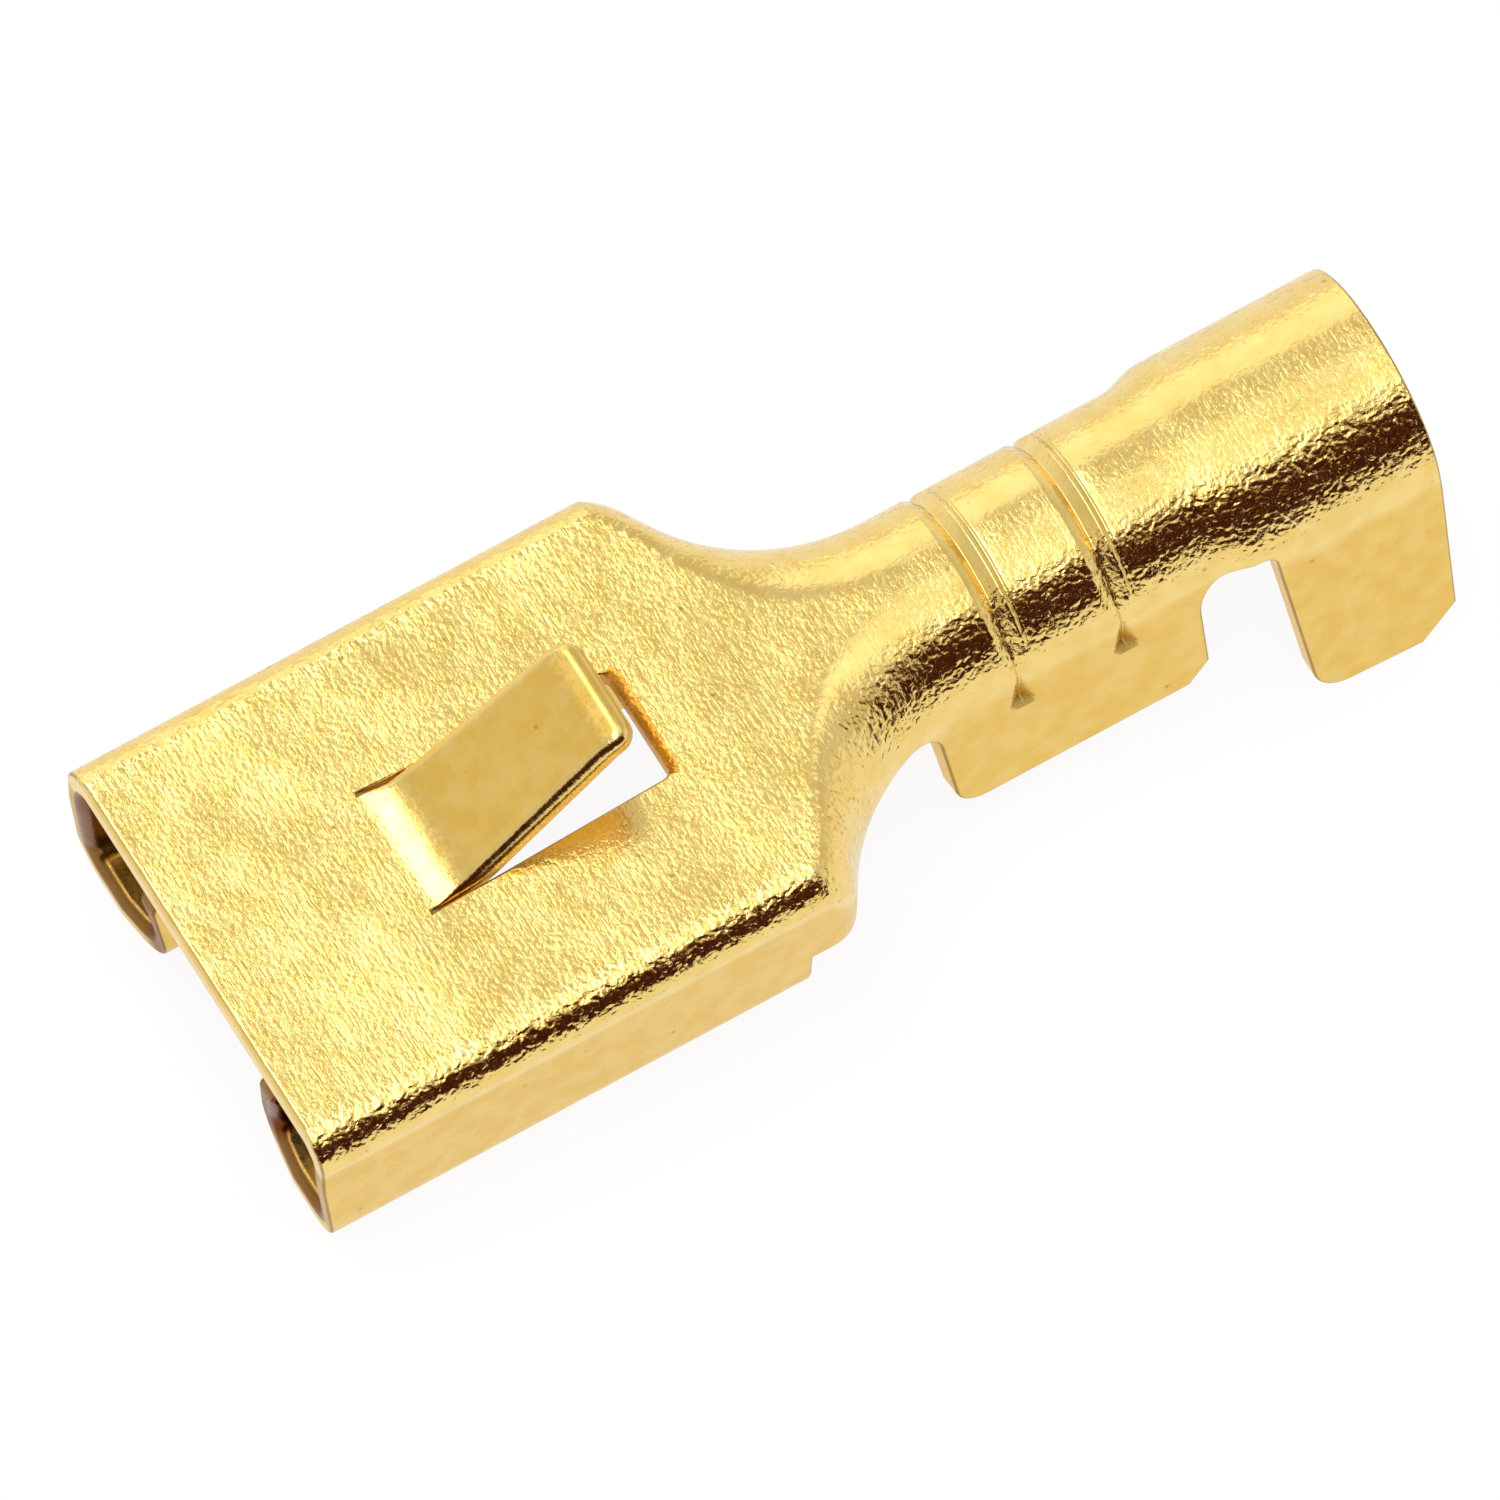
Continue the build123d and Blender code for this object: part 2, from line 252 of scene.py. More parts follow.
@dataclass
class LanceShape:
    """The locking tongue that is lifted from the floor, and its window, in millimetres."""

    root: float = 3.468
    length: float = 3.572
    root_half: float = 1.11
    tip_half: float = 0.965
    lift: float = 1.89
    heel: float = 0.50
    tip_length: float = 0.45
    tip_rise: float = 0.19
    root_radius: float = 1.55
    tip_radius: float = 0.90
    corner_radius: float = 0.30
    side_gap: float = 0.03
    window_end_half: float = 0.99
    end_gap: float = 0.65
    window_corner: float = 0.16
    lead: float = 0.80
    ease_beside: float = 0.80
    ease_beyond: float = 0.60
    side_view: BentPath = field(init=False)

    def __post_init__(self) -> None:
        """Lay out the side view of the tongue's upper face."""
        tip = self.root + self.length
        corners = [
            (self.root - self.lead, 0.0),
            (self.root + self.heel, 0.0),
            (tip - self.tip_length, self.lift),
            (tip, self.lift + self.tip_rise),
        ]
        self.side_view = BentPath(corners, [self.root_radius, self.tip_radius])

    @property
    def flat_tip(self) -> float:
        """Where the tongue's free end would lie if it were pressed flat."""
        return self.root - self.lead + self.side_view.length

    @property
    def window_end(self) -> float:
        """Where the window's far side lies."""
        return self.root + self.length + self.end_gap

    def half_at(self, x: np.ndarray) -> np.ndarray:
        """The tongue's half width where it would lie at x if it were pressed flat."""
        share = np.clip((x - self.root) / (self.flat_tip - self.root), 0, 1)
        return self.root_half + (self.tip_half - self.root_half) * share

    def window_half(self, x: np.ndarray) -> np.ndarray:
        """The window's half width at x.

        Args:
            x: Places along the strip.

        Returns:
            One half width for each.
        """
        share = np.clip((x - self.root) / (self.window_end - self.root), 0, 1)
        first = self.root_half + self.side_gap
        return first + (self.window_end_half - first) * share

    def on_tongue(self, x: np.ndarray, y: np.ndarray) -> np.ndarray:
        """True for the places of the flat strip that belong to the tongue.

        Args:
            x: Places along the strip.
            y: Places across it.

        Returns:
            One truth for each place.
        """
        beside = (self.half_at(x) + self.window_half(x)) / 2
        gap = (self.window_end - self.flat_tip) / 2
        past_x = x - (self.flat_tip - self.corner_radius)
        past_y = np.abs(y) - (self.tip_half - self.corner_radius)
        outside = np.hypot(past_x, past_y) > self.corner_radius + gap
        corner = (past_x > 0) & (past_y > 0) & outside
        return (x > self.root - TINY) & (np.abs(y) < beside) & (x < self.flat_tip + gap) & ~corner

    def lifted(self, x: np.ndarray, y: np.ndarray) -> tuple[np.ndarray, np.ndarray, np.ndarray]:
        """Bend the flat strip at x, y into the raised tongue.

        Args:
            x: Places along the flat strip.
            y: Places across it.

        Returns:
            The x, the z and a mask of the points that belong to the tongue.
        """
        start = self.root - self.lead
        path = self.side_view.at(x - start)
        inside = self.on_tongue(x, y)
        beside = 1.0 - smooth_step((np.abs(y) - self.root_half) / self.ease_beside)
        beyond = 1.0 - smooth_step((x - self.root) / self.ease_beyond)
        held = self.side_view.at(np.minimum(x, self.root) - start)[:, 1]
        z = np.where(inside, path[:, 1], held * beside * beyond)
        return np.where(inside, path[:, 0], x), z, inside


@dataclass
class NeckShape:
    """The neck between the receptacle and the round barrels, in millimetres."""

    wall_depth: float = 2.10
    shoulder: float = 0.75
    corner_radius: float = 0.70
    sweep_radius: float = 3.604
    step_length: float = 0.45
    step_radius: float = 0.25
    channel_depth: float = 1.55
    dip_radius: float = 0.60


@dataclass
class SerrationShape:
    """One serration pressed across the wire barrel, in millimetres.

    It is wide and deep over the round top, thins out on the straight side and ends in a small
    wedge-shaped dent. On the top a gentle tail and a fine scored line run behind it.
    """

    depth: float = 0.15
    width: float = 0.50
    reach: float = 2.14
    steepness: float = 1.25
    side_start: float = 0.75
    side_ease: float = 0.55
    side_width_lost: float = 0.66
    side_depth_lost: float = 0.62
    dent_start: float = 1.45
    dent_width: float = 0.38
    dent_depth: float = 0.13
    dent_overrun: float = 0.05
    dent_ease: float = 0.07
    tail: float = 0.16
    tail_share: float = 0.42
    score: float = 0.27
    score_share: float = 0.24
    score_half: float = 0.055

    def pressed(self, gone: np.ndarray, low: np.ndarray) -> np.ndarray:
        """How far the serration stands in.

        Args:
            gone: Distances behind its middle.
            low: Depths below the top of the barrel.

        Returns:
            One distance for each point.
        """
        thin = smooth_step((low - self.side_start) / self.side_ease)
        dent = np.clip((low - self.dent_start) / (self.reach - self.dent_start), 0, 1)
        half = (self.width * (1 - self.side_width_lost * thin) + self.dent_width * dent) / 2
        deep = self.depth * (1 - self.side_depth_lost * thin) + self.dent_depth * dent
        ended = 1.0 - smooth_step((low - self.reach + self.dent_overrun) / self.dent_ease)
        steep = np.clip(1 - np.abs(gone) / half, 0, 1) ** self.steepness
        gentle = self.tail_share * np.exp(-np.clip(gone, 0, None) / self.tail) * (1 - thin)
        line = np.clip(1 - np.abs(gone - self.score) / self.score_half, 0, 1)
        scored = self.score_share * line * (1 - thin)
        return deep * ended * (np.where(gone > 0, np.maximum(steep, gentle), steep) + scored)


@dataclass
class BarrelShape:
    """Both crimp barrels, with the serrations, the flare and the wings, in millimetres."""

    start: float = 12.503
    end: float = 20.45
    wire_front: float = 11.783
    wire_end: float = 16.360
    wire_radius: float = 1.72
    wire_splay: float = 8.5
    wire_depth: float = 3.94
    wire_lean: float = 0.22
    wire_corner: float = 0.50
    wire_chamfer: float = 0.38
    notch_depth: float = 1.46
    notch_width: float = 1.22
    notch_front: float = 0.80
    notch_rear: float = 0.22
    flare_length: float = 0.80
    insulation_radius: float = 1.98
    insulation_splay: float = 10.0
    insulation_depth: float = 5.52
    insulation_lean: float = 0.34
    insulation_rise: float = 0.15
    insulation_corner: float = 0.60
    insulation_chamfer: float = 0.62
    end_lean: float = 0.12
    groove_first: float = 13.280
    groove_pitch: float = 1.799
    groove_count: int = 2
    serration: SerrationShape = field(default_factory=SerrationShape)

    @property
    def insulation_front(self) -> float:
        """Where the insulation wings begin."""
        return self.wire_end + self.notch_width

    @property
    def flare_start(self) -> float:
        """Where the flare begins."""
        return self.wire_end + (self.notch_width - self.flare_length) / 2

    @property
    def grooves(self) -> list[float]:
        """The place of each serration along the strip."""
        return [self.groove_first + i * self.groove_pitch for i in range(self.groove_count)]

    def low_front(self) -> Pair:
        """The side view of the low front corner of the insulation wings."""
        along = self.insulation_front + self.insulation_lean
        return along, self.insulation_rise - self.insulation_depth

    def rear_chamfer(self) -> list[Pair]:
        """The side view of the cut-off low rear corner of the insulation wings.

        Returns:
            Both ends of the cut, the front one first.
        """
        corner = np.array([self.end - self.end_lean, -self.insulation_depth])
        front = np.array(self.low_front())
        rear = np.array([self.end, -self.insulation_radius])
        ways = [(place - corner) / np.linalg.norm(place - corner) for place in (front, rear)]
        return [tuple(corner + way * self.insulation_chamfer) for way in ways]

    def pressed(self, x: np.ndarray, z: np.ndarray) -> np.ndarray:
        """How far the serrations stand in at each point."""
        return sum(self.serration.pressed(x - middle, -z) for middle in self.grooves)


@dataclass
class FormedSkin:
    """How strongly forming has roughened the skin, from 0 to 1, and where the strengths meet."""

    floor: float = 0.40
    side: float = 0.12
    bend_start: float = 0.30
    bend_ease: float = 0.25
    side_start: float = 0.80
    side_ease: float = 0.35
    tongue_start: float = 0.10
    tongue_ease: float = 0.80
    tongue_border: float = 0.24
    border_ease: float = 0.12


@dataclass
class StripShape:
    """The whole folded strip, as a map from the flat strip to the finished part."""

    thickness: float = 0.40
    box: ReceptacleShape = field(default_factory=ReceptacleShape)
    lance: LanceShape = field(default_factory=LanceShape)
    neck: NeckShape = field(default_factory=NeckShape)
    barrel: BarrelShape = field(default_factory=BarrelShape)
    formed: FormedSkin = field(default_factory=FormedSkin)
    mouth_steps: int = 90
    side_steps: int = 60
    rim_step: float = 0.10
    rim_bend_steps: int = 8
    slit_step: float = 0.12
    window_bend_steps: int = 5
    tip_bend_steps: int = 6
    tail_steps: int = 4
    tail_margin: float = 0.02

    def neck_centres(self) -> tuple[Pair, Pair]:
        """The plan centres of the neck's convex corner and of its long sweep.

        Returns:
            Both centres.
        """
        sweep = (self.barrel.start, self.barrel.wire_radius + self.neck.sweep_radius)
        level = self.box.half_width - self.neck.corner_radius
        gap = sweep[1] - level
        along = math.sqrt((self.neck.sweep_radius + self.neck.corner_radius) ** 2 - gap**2)
        return (self.barrel.start - along, level), sweep

    def half_width(self, x: np.ndarray) -> np.ndarray:
        """The half width of the outer face at each x of the neck.

        Args:
            x: Places along the strip.

        Returns:
            One half width for each.
        """
        corner, sweep = self.neck_centres()
        turn = math.atan2(sweep[0] - corner[0], sweep[1] - corner[1])
        joint = corner[0] + self.neck.corner_radius * math.sin(turn)
        tight, wide = self.neck.corner_radius, self.neck.sweep_radius
        convex = corner[1] + np.sqrt(np.clip(tight**2 - (x - corner[0]) ** 2, 0, None))
        concave = sweep[1] - np.sqrt(np.clip(wide**2 - (sweep[0] - x) ** 2, 0, None))
        bent = np.where(x <= joint, convex, concave)
        return np.where(x <= corner[0], self.box.half_width, bent)

    def channel(self, x: np.ndarray) -> tuple[np.ndarray, np.ndarray, np.ndarray]:
        """The half floor, the bend radius and the wall's splay in radians, behind the box.

        Args:
            x: Places along the strip.

        Returns:
            The three sizes, one of each for every place.
        """
        barrel = self.barrel
        corner, sweep = self.neck_centres()
        share = np.clip((x - corner[0]) / (sweep[0] - corner[0]), 0, 1)
        first = self.box.floor_bend / self.box.half_width
        half = self.half_width(x)
        radius = (first + (1 - first) * np.sin(np.pi / 2 * share)) * half
        opened = half_cosine((x - self.box.length) / (barrel.start - self.box.length))
        flare = half_cosine((x - barrel.flare_start) / barrel.flare_length)
        grown = barrel.wire_radius + flare * (barrel.insulation_radius - barrel.wire_radius)
        behind = x >= barrel.start
        radius = np.where(behind, grown, radius)
        flat = np.where(behind, 0.0, half - radius)
        splay = barrel.wire_splay * opened + flare * (barrel.insulation_splay - barrel.wire_splay)
        return flat, radius, np.radians(splay)

    def channel_point(self, x: np.ndarray, across: np.ndarray) -> tuple[np.ndarray, np.ndarray]:
        """The y and z of the outer face behind the box, for distances walked across the strip.

        Args:
            x: Places along the strip.
            across: Distances from the middle.

        Returns:
            The y and the z.
        """
        flat, radius, splay = self.channel(x)
        angle = np.clip((across - flat) / radius, 0, np.pi / 2 - splay)
        leg = np.clip(across - flat - radius * (np.pi / 2 - splay), 0, None)
        y = np.minimum(across, flat) + radius * np.sin(angle) + leg * np.sin(splay)
        z = radius * (np.cos(angle) - 1) - leg * np.cos(splay)
        return y, z

    def channel_across(self, x: np.ndarray, z: np.ndarray) -> np.ndarray:
        """The distance walked across the strip down to each level z, behind the box.

        Args:
            x: Places along the strip.
            z: Levels on the wall.

        Returns:
            One distance for each.
        """
        flat, radius, splay = self.channel(x)
        turn = np.pi / 2 - splay
        low = radius * (np.cos(turn) - 1)
        angle = np.arccos(np.clip(1 + np.maximum(z, low) / radius, -1, 1))
        return flat + radius * angle + np.clip(low - z, 0, None) / np.cos(splay)

    def outer(self, x: np.ndarray, s: np.ndarray, rear: np.ndarray) -> np.ndarray:
        """The outer face without serrations, at places x along and s across the flat strip.

        Args:
            x: Places along the strip.
            s: Distances walked across it, negative on the far side.
            rear: True for the points that belong to the neck and the barrels.

        Returns:
            One (x, y, z) row for each place.
        """
        across = np.abs(s)
        front_y, front_z = self.box.section.at(across).T
        rear_y, rear_z = self.channel_point(x, across)
        lifted_x, lifted_z, _ = self.lance.lifted(x, s)
        on_floor = ~rear & (across < self.box.half_width - self.box.floor_bend)
        out_x = np.where(on_floor, lifted_x, x)
        y = np.where(rear, rear_y, front_y) * np.sign(s)
        z = np.where(rear, rear_z, np.where(on_floor, lifted_z, front_z))
        return np.stack([out_x, y, z], axis=-1)

    def normals(self, x: np.ndarray, s: np.ndarray, rear: np.ndarray, pressed: bool) -> np.ndarray:
        """The outward normals of the outer face, with or without its serrations.

        Args:
            x: Places along the strip.
            s: Distances walked across it.
            rear: True behind the box.
            pressed: True for the face with its serrations.

        Returns:
            One normal for each place.
        """
        near = self.pressed_outer if pressed else self.outer
        along = near(x + NORMAL_STEP, s, rear) - near(x - NORMAL_STEP, s, rear)
        over = near(x, s + NORMAL_STEP, rear) - near(x, s - NORMAL_STEP, rear)
        found = np.cross(along, over)
        return found / np.linalg.norm(found, axis=1, keepdims=True)

    def pressed_outer(self, x: np.ndarray, s: np.ndarray, rear: np.ndarray) -> np.ndarray:
        """The outer face with its serrations.

        Args:
            x: Places along the strip.
            s: Distances walked across it.
            rear: True behind the box.

        Returns:
            One (x, y, z) row for each place.
        """
        base = self.outer(x, s, rear)
        press = np.where(rear, self.barrel.pressed(x, base[:, 2]), 0.0)
        return base - self.normals(x, s, rear, False) * press[:, None]

    def skin(self, x: np.ndarray, s: np.ndarray) -> np.ndarray:
        """How rough forming has left the skin: most on the bends, least on sides and tongue.

        Args:
            x: Places along the strip.
            s: Distances walked across it.

        Returns:
            One share for each place.
        """
        formed, lance, across = self.formed, self.lance, np.abs(s)
        flat, radius, splay = self.channel(x)
        share = (across - flat) / (radius * (np.pi / 2 - splay))
        start = formed.bend_start * radius / (flat + radius)
        rise = smooth_step((share - start) / formed.bend_ease + 0.5)
        fall = smooth_step((share - formed.side_start) / formed.side_ease)
        found = (formed.floor + (1 - formed.floor) * rise) * (1 - fall) + formed.side * fall
        border = across - lance.half_at(x) + formed.tongue_border
        inside = 1 - smooth_step(border / formed.border_ease)
        raised = smooth_step((x - lance.root - formed.tongue_start) / formed.tongue_ease)
        tongue = lance.on_tongue(x, s) * inside * raised
        return found + (formed.side - found) * tongue

    def painted_roll_shade(self, x: np.ndarray, s: np.ndarray, inner: np.ndarray) -> np.ndarray:
        """Painted shade inside the rolls: 1 on the curls' inner faces, less on the walls, else 0.

        Args:
            x: Places along the strip.
            s: Distances walked across it.
            inner: 1 for the points of the inner face and 0 for those of the outer one.

        Returns:
            One share for each point.
        """
        box = self.box
        _, _, wall, roll, _, curl, *_ = box.section.starts
        across = np.abs(s)
        walled = smooth_step((across - wall) / box.wall_fade)
        rolled = smooth_step((across - roll) / box.roll_fade)
        walls = walled * (1 - rolled) * box.wall_shade * inner
        curls = smooth_step((across - curl) / box.curl_fade) * inner**box.curl_power
        return (walls + curls) * (x < box.length)

    def edge_line(self) -> np.ndarray:
        """Half of the flat strip's cut outline as (x, s) points, from the mouth to the tail.

        Returns:
            The points.
        """
        box, neck, barrel = self.box, self.neck, self.barrel
        end = box.section.length
        front = np.linspace(0, end, self.mouth_steps)
        back = np.linspace(end, float(self._wall_across()), self.side_steps)
        points = list(zip(box.front(front), front))
        tip = np.array([end])
        last, first = float(box.front(tip)[0]), float(box.back(tip)[0])
        steps = self.side_steps
        points += [(last + (first - last) * i / steps, end) for i in range(1, steps)]
        points += list(zip(box.back(back), back))
        dip = box.length + neck.shoulder + neck.step_length
        corners = [
            (box.length, -neck.wall_depth),
            (box.length + neck.shoulder, -neck.wall_depth),
            (dip, -neck.channel_depth),
            (barrel.wire_front, -neck.channel_depth),
            (barrel.wire_front + barrel.wire_lean, -barrel.wire_depth),
            (barrel.wire_end - barrel.wire_chamfer, -barrel.wire_depth),
            (barrel.wire_end, -barrel.wire_depth + barrel.wire_chamfer),
            (barrel.wire_end, -barrel.notch_depth),
            (barrel.insulation_front, -barrel.notch_depth),
            barrel.low_front(),
            *barrel.rear_chamfer(),
            (barrel.end, -barrel.insulation_radius),
            (barrel.end, 0.0),
        ]
        radii = [neck.step_radius, neck.dip_radius, neck.dip_radius, barrel.wire_corner, 0.0, 0.0]
        radii += [barrel.notch_front, barrel.notch_rear, barrel.insulation_corner, 0.0, 0.0, 0.0]
        rim = BentPath(corners, radii).sampled(self.rim_step, self.rim_bend_steps)
        across = self.channel_across(rim[:, 0], rim[:, 1])
        points += [p for p in zip(rim[:, 0], across) if p[1] > self.tail_margin]
        return np.asarray(points)

    def _wall_across(self) -> np.ndarray:
        """The distance across the strip to the lower edge of the neck's wall."""
        place, level = np.array([self.box.length]), np.array([-self.neck.wall_depth])
        return self.channel_across(place, level)[0]

    def outline(self) -> np.ndarray:
        """The closed cut outline of the flat strip.

        Returns:
            Its (x, s) points in turn.
        """
        half = self.edge_line()
        other = half[::-1] * (1, -1)
        last = half[-1][1]
        tail = [(self.barrel.end, s) for s in np.linspace(last, -last, self.tail_steps)[1:-1]]
        return np.vstack([half, tail, other[:-1]])

    def slit(self) -> np.ndarray:
        """The closed outline of the cut round the lance, as (x, s) points.

        Returns:
            The points in turn.
        """
        lance = self.lance
        half, end = lance.root_half + lance.side_gap, lance.window_end
        corners = [(lance.root, half), (end, lance.window_end_half), (end, 0.0)]
        side = BentPath(corners, [lance.window_corner])
        side = side.sampled(self.slit_step, self.window_bend_steps)
        tip = lance.flat_tip
        rim = [(tip, 0.0), (tip, lance.tip_half), (lance.root, lance.root_half)]
        edge = BentPath(rim, [lance.corner_radius]).sampled(self.slit_step, self.tip_bend_steps)
        window = np.vstack([side, side[::-1][1:] * (1, -1)])
        inner = np.vstack([(edge * (1, -1))[::-1], edge[1:]])
        return np.vstack([window, inner])


def loop_normals(loop: np.ndarray) -> np.ndarray:
    """The mitred normals on the left of a closed loop.

    Args:
        loop: The loop's points in turn.

    Returns:
        One normal for each point, longer at a corner.
    """
    ahead = np.roll(loop, -1, axis=0) - loop
    ahead /= np.linalg.norm(ahead, axis=1, keepdims=True)
    left = np.stack([-ahead[:, 1], ahead[:, 0]], axis=-1)
    before = np.roll(left, 1, axis=0)
    both = (left + before) / (1 + np.sum(left * before, axis=1, keepdims=True))
    size = np.linalg.norm(both, axis=1, keepdims=True)
    return both * np.minimum(1.0, MITRE_LIMIT / size)


def turned_left(loop: np.ndarray, metal_inside: bool) -> np.ndarray:
    """The loop in the order that keeps the metal on its left.

    Args:
        loop: The loop's points in turn.
        metal_inside: True where the metal lies inside the loop.

    Returns:
        The loop, turned round where it has to be.
    """
    x, y = loop.T
    area = np.sum(x * np.roll(y, -1) - y * np.roll(x, -1))
    return loop if (area > 0) == metal_inside else loop[::-1]


def near_line(points: np.ndarray, loop: np.ndarray, reach: float) -> np.ndarray:
    """True for the points within reach of a closed loop.

    Args:
        points: The points to be tried.
        loop: The loop's points in turn.
        reach: The distance.

    Returns:
        One truth for each point.
    """
    start, run = loop, np.roll(loop, -1, axis=0) - loop
    size = np.sum(run * run, axis=1)
    close = np.zeros(len(points), bool)
    for block in range(0, len(points), BLOCK):
        part = points[block : block + BLOCK]
        gap = part[:, None] - start[None]
        share = np.clip(np.sum(gap * run[None], axis=2) / size[None], 0, 1)
        gap -= share[..., None] * run[None]
        close[block : block + BLOCK] = np.min(np.sum(gap * gap, axis=2), axis=1) < reach * reach
    return close


def inside_loop(points: np.ndarray, loop: np.ndarray) -> np.ndarray:
    """True for the points inside a closed loop.

    Args:
        points: The points to be tried.
        loop: The loop's points in turn.

    Returns:
        One truth for each point.
    """
    x, y = points.T
    found = np.zeros(len(points), bool)
    for (x0, y0), (x1, y1) in zip(loop, np.roll(loop, -1, axis=0)):
        if y0 != y1:
            crosses = (y0 > y) != (y1 > y)
            found ^= crosses & (x < x0 + (y - y0) * (x1 - x0) / (y1 - y0))
    return found


@dataclass
class FoldedSheet:
    """The strip's mesh in its own frame, with what the finishes need to know of each point."""

    points: np.ndarray
    normals: np.ndarray
    faces: list[tuple[int, ...]]
    strip: np.ndarray
    edge: np.ndarray
    inner: np.ndarray
    face_count: int


@dataclass
class SheetMesher:
    """Turns the strip's flat outline into a folded mesh with round-edged cut sides."""

    shape: StripShape
    edge_radius: float = 0.045
    mouth_bevel: float = 0.10
    mouth_reach: float = 0.05
    mouth_ease: float = 0.40
    tongue_edge: float = 0.20
    tongue_start: float = 0.05
    tongue_ease: float = 0.50
    window_edge: float = 0.17
    window_inset: float = 0.05
    window_reach: float = 0.15
    window_ease: float = 0.10
    roll_edge: float = 0.20
    roll_start: float = 0.50
    roll_ease: float = 0.80
    roll_tip: float = 0.90
    roll_tip_ease: float = 0.70
    roll_reach: float = 1.00
    broad_from: float = 0.055
    edge_steps: int = 4
    spacing: float = 0.125
    bend_spacing: float = 0.075
    border_share: float = 0.42
    wing_reach: float = 5.0
    groove_clear: Pair = (0.34, 0.70)
    groove_rows: Pair = (0.30, 0.66)
    groove_row_count: int = 25
    # Strengths of the painted rim shade: inner face's rim, outer rounding, broad outer rounding.
    inner_rim: float = 0.5
    plain_rim: float = 0.7
    broad_rim: float = 0.1

    def loops(self) -> list[np.ndarray]:
        """The outline and the slit, each with the metal on its left."""
        return [turned_left(self.shape.outline(), True), turned_left(self.shape.slit(), False)]

    def stations(self) -> np.ndarray:
        """The places along the strip at which the faces have rows of points.

        Returns:
            The places in order.
        """
        even = np.arange(self.spacing / 2, self.shape.barrel.end, self.spacing)
        close: list[np.ndarray] = []
        for middle in self.shape.barrel.grooves:
            gone = even - middle
            even = even[(gone < -self.groove_clear[0]) | (gone > self.groove_clear[1])]
            first, last = middle - self.groove_rows[0], middle + self.groove_rows[1]
            close.append(np.linspace(first, last, self.groove_row_count))
        return np.sort(np.concatenate([even, *close]))

    def face_points(self) -> np.ndarray:
        """Points over the flat strip, closer together across the bends.

        Returns:
            The (x, s) points.
        """
        shape = self.shape
        rows: list[np.ndarray] = []
        reach = shape.box.section.length
        for x in self.stations():
            flat, radius, splay = (float(v[0]) for v in shape.channel(np.array([x])))
            bend = radius * (math.pi / 2 - splay)
            marks = [0.0, flat, flat + bend]
            if x < shape.box.length:
                marks += shape.box.section.starts[3:] + [reach]
            else:
                marks += [flat + bend + self.wing_reach]
            across: list[float] = []
            for i, (low, high) in enumerate(zip(marks, marks[1:])):
                if high - low < SHORT_RUN:
                    continue
                step = self.bend_spacing if i % 2 else self.spacing
                count = max(1, round((high - low) / step))
                across += list(low + (high - low) * np.arange(count) / count)
            half = np.asarray(across)
            rows.append(np.stack([np.full(len(half), x), half], axis=-1))
            rows.append(np.stack([np.full(len(half) - 1, x), -half[1:]], axis=-1))
        return np.vstack(rows)

    def rear_mask(self, points: np.ndarray) -> np.ndarray:
        """True for the points that belong to the neck and the barrels."""
        return points[:, 0] > self.shape.box.length

    def place(self, points: np.ndarray, depth: np.ndarray) -> tuple[np.ndarray, np.ndarray]:
        """Fold flat points at a depth below the outer face.

        Args:
            points: The (x, s) places on the flat strip.
            depth: The depth of each below the outer face.

        Returns:
            The folded points and the outward normals there.
        """
        rear = self.rear_mask(points)
        x, s = self.levelled(points, depth, rear).T
        plain = self.shape.normals(x, s, rear, False)
        base = self.shape.outer(x, s, rear)
        press = np.where(rear, self.shape.barrel.pressed(x, base[:, 2]), 0.0)
        return base - plain * (press + depth)[:, None], self.shape.normals(x, s, rear, True)

    def levelled(self, points: np.ndarray, depth: np.ndarray, rear: np.ndarray) -> np.ndarray:
        """Slide the deeper points of the splayed wings up, so that both faces end level.

        Args:
            points: The (x, s) places.
            depth: The depth of each below the outer face.
            rear: True behind the box.

        Returns:
            The places after the slide.
        """
        x, s = points.T
        _, radius, splay = self.shape.channel(x)
        z = self.shape.outer(x, s, rear)[:, 2]
        slide = np.where(rear, depth * np.tan(splay) * smooth_step(-z - radius), 0.0)
        return np.stack([x, s - np.sign(s) * slide], axis=-1)

    def edge_sizes(self, loop: np.ndarray, outer: bool) -> np.ndarray:
        """The radius of the rounded edge at each point of a loop.

        It is wider at the mouth, on the tongue's upper edges and at the window's closed end.

        Args:
            loop: The cut outline on the flat strip.
            outer: True for the outer face's edge.

        Returns:
            One radius for each point.
        """
        x, across = loop[:, 0], np.abs(loop[:, 1])
        lance = self.shape.lance
        floor = self.shape.box.half_width - self.shape.box.floor_bend
        if outer:
            on_tongue = lance.on_tongue(x, loop[:, 1])
            near_floor = 1 - smooth_step((across - floor) / self.mouth_ease)
            raised = smooth_step((x - lance.root - self.tongue_start) / self.tongue_ease)
            behind = x - lance.window_end
            closed = (across < lance.window_end_half - self.window_inset) & ~on_tongue
            closed &= np.abs(behind) < self.window_reach
            closing = smooth_step((behind + self.window_reach) / self.window_ease)
            wider = [
                (self.mouth_bevel, near_floor * (x < self.mouth_reach)),
                (self.tongue_edge, raised * on_tongue),
                (self.window_edge, closing * closed),
            ]
        else:
            past_floor = smooth_step((across - floor - self.roll_start) / self.roll_ease)
            from_tip = across - self.shape.box.section.length + self.roll_tip
            before_tip = 1 - smooth_step(from_tip / self.roll_tip_ease)
            wider = [(self.roll_edge, past_floor * before_tip * (x < self.roll_reach))]
        grown = sum((radius - self.edge_radius) * share for radius, share in wider)
        return self.edge_radius + grown

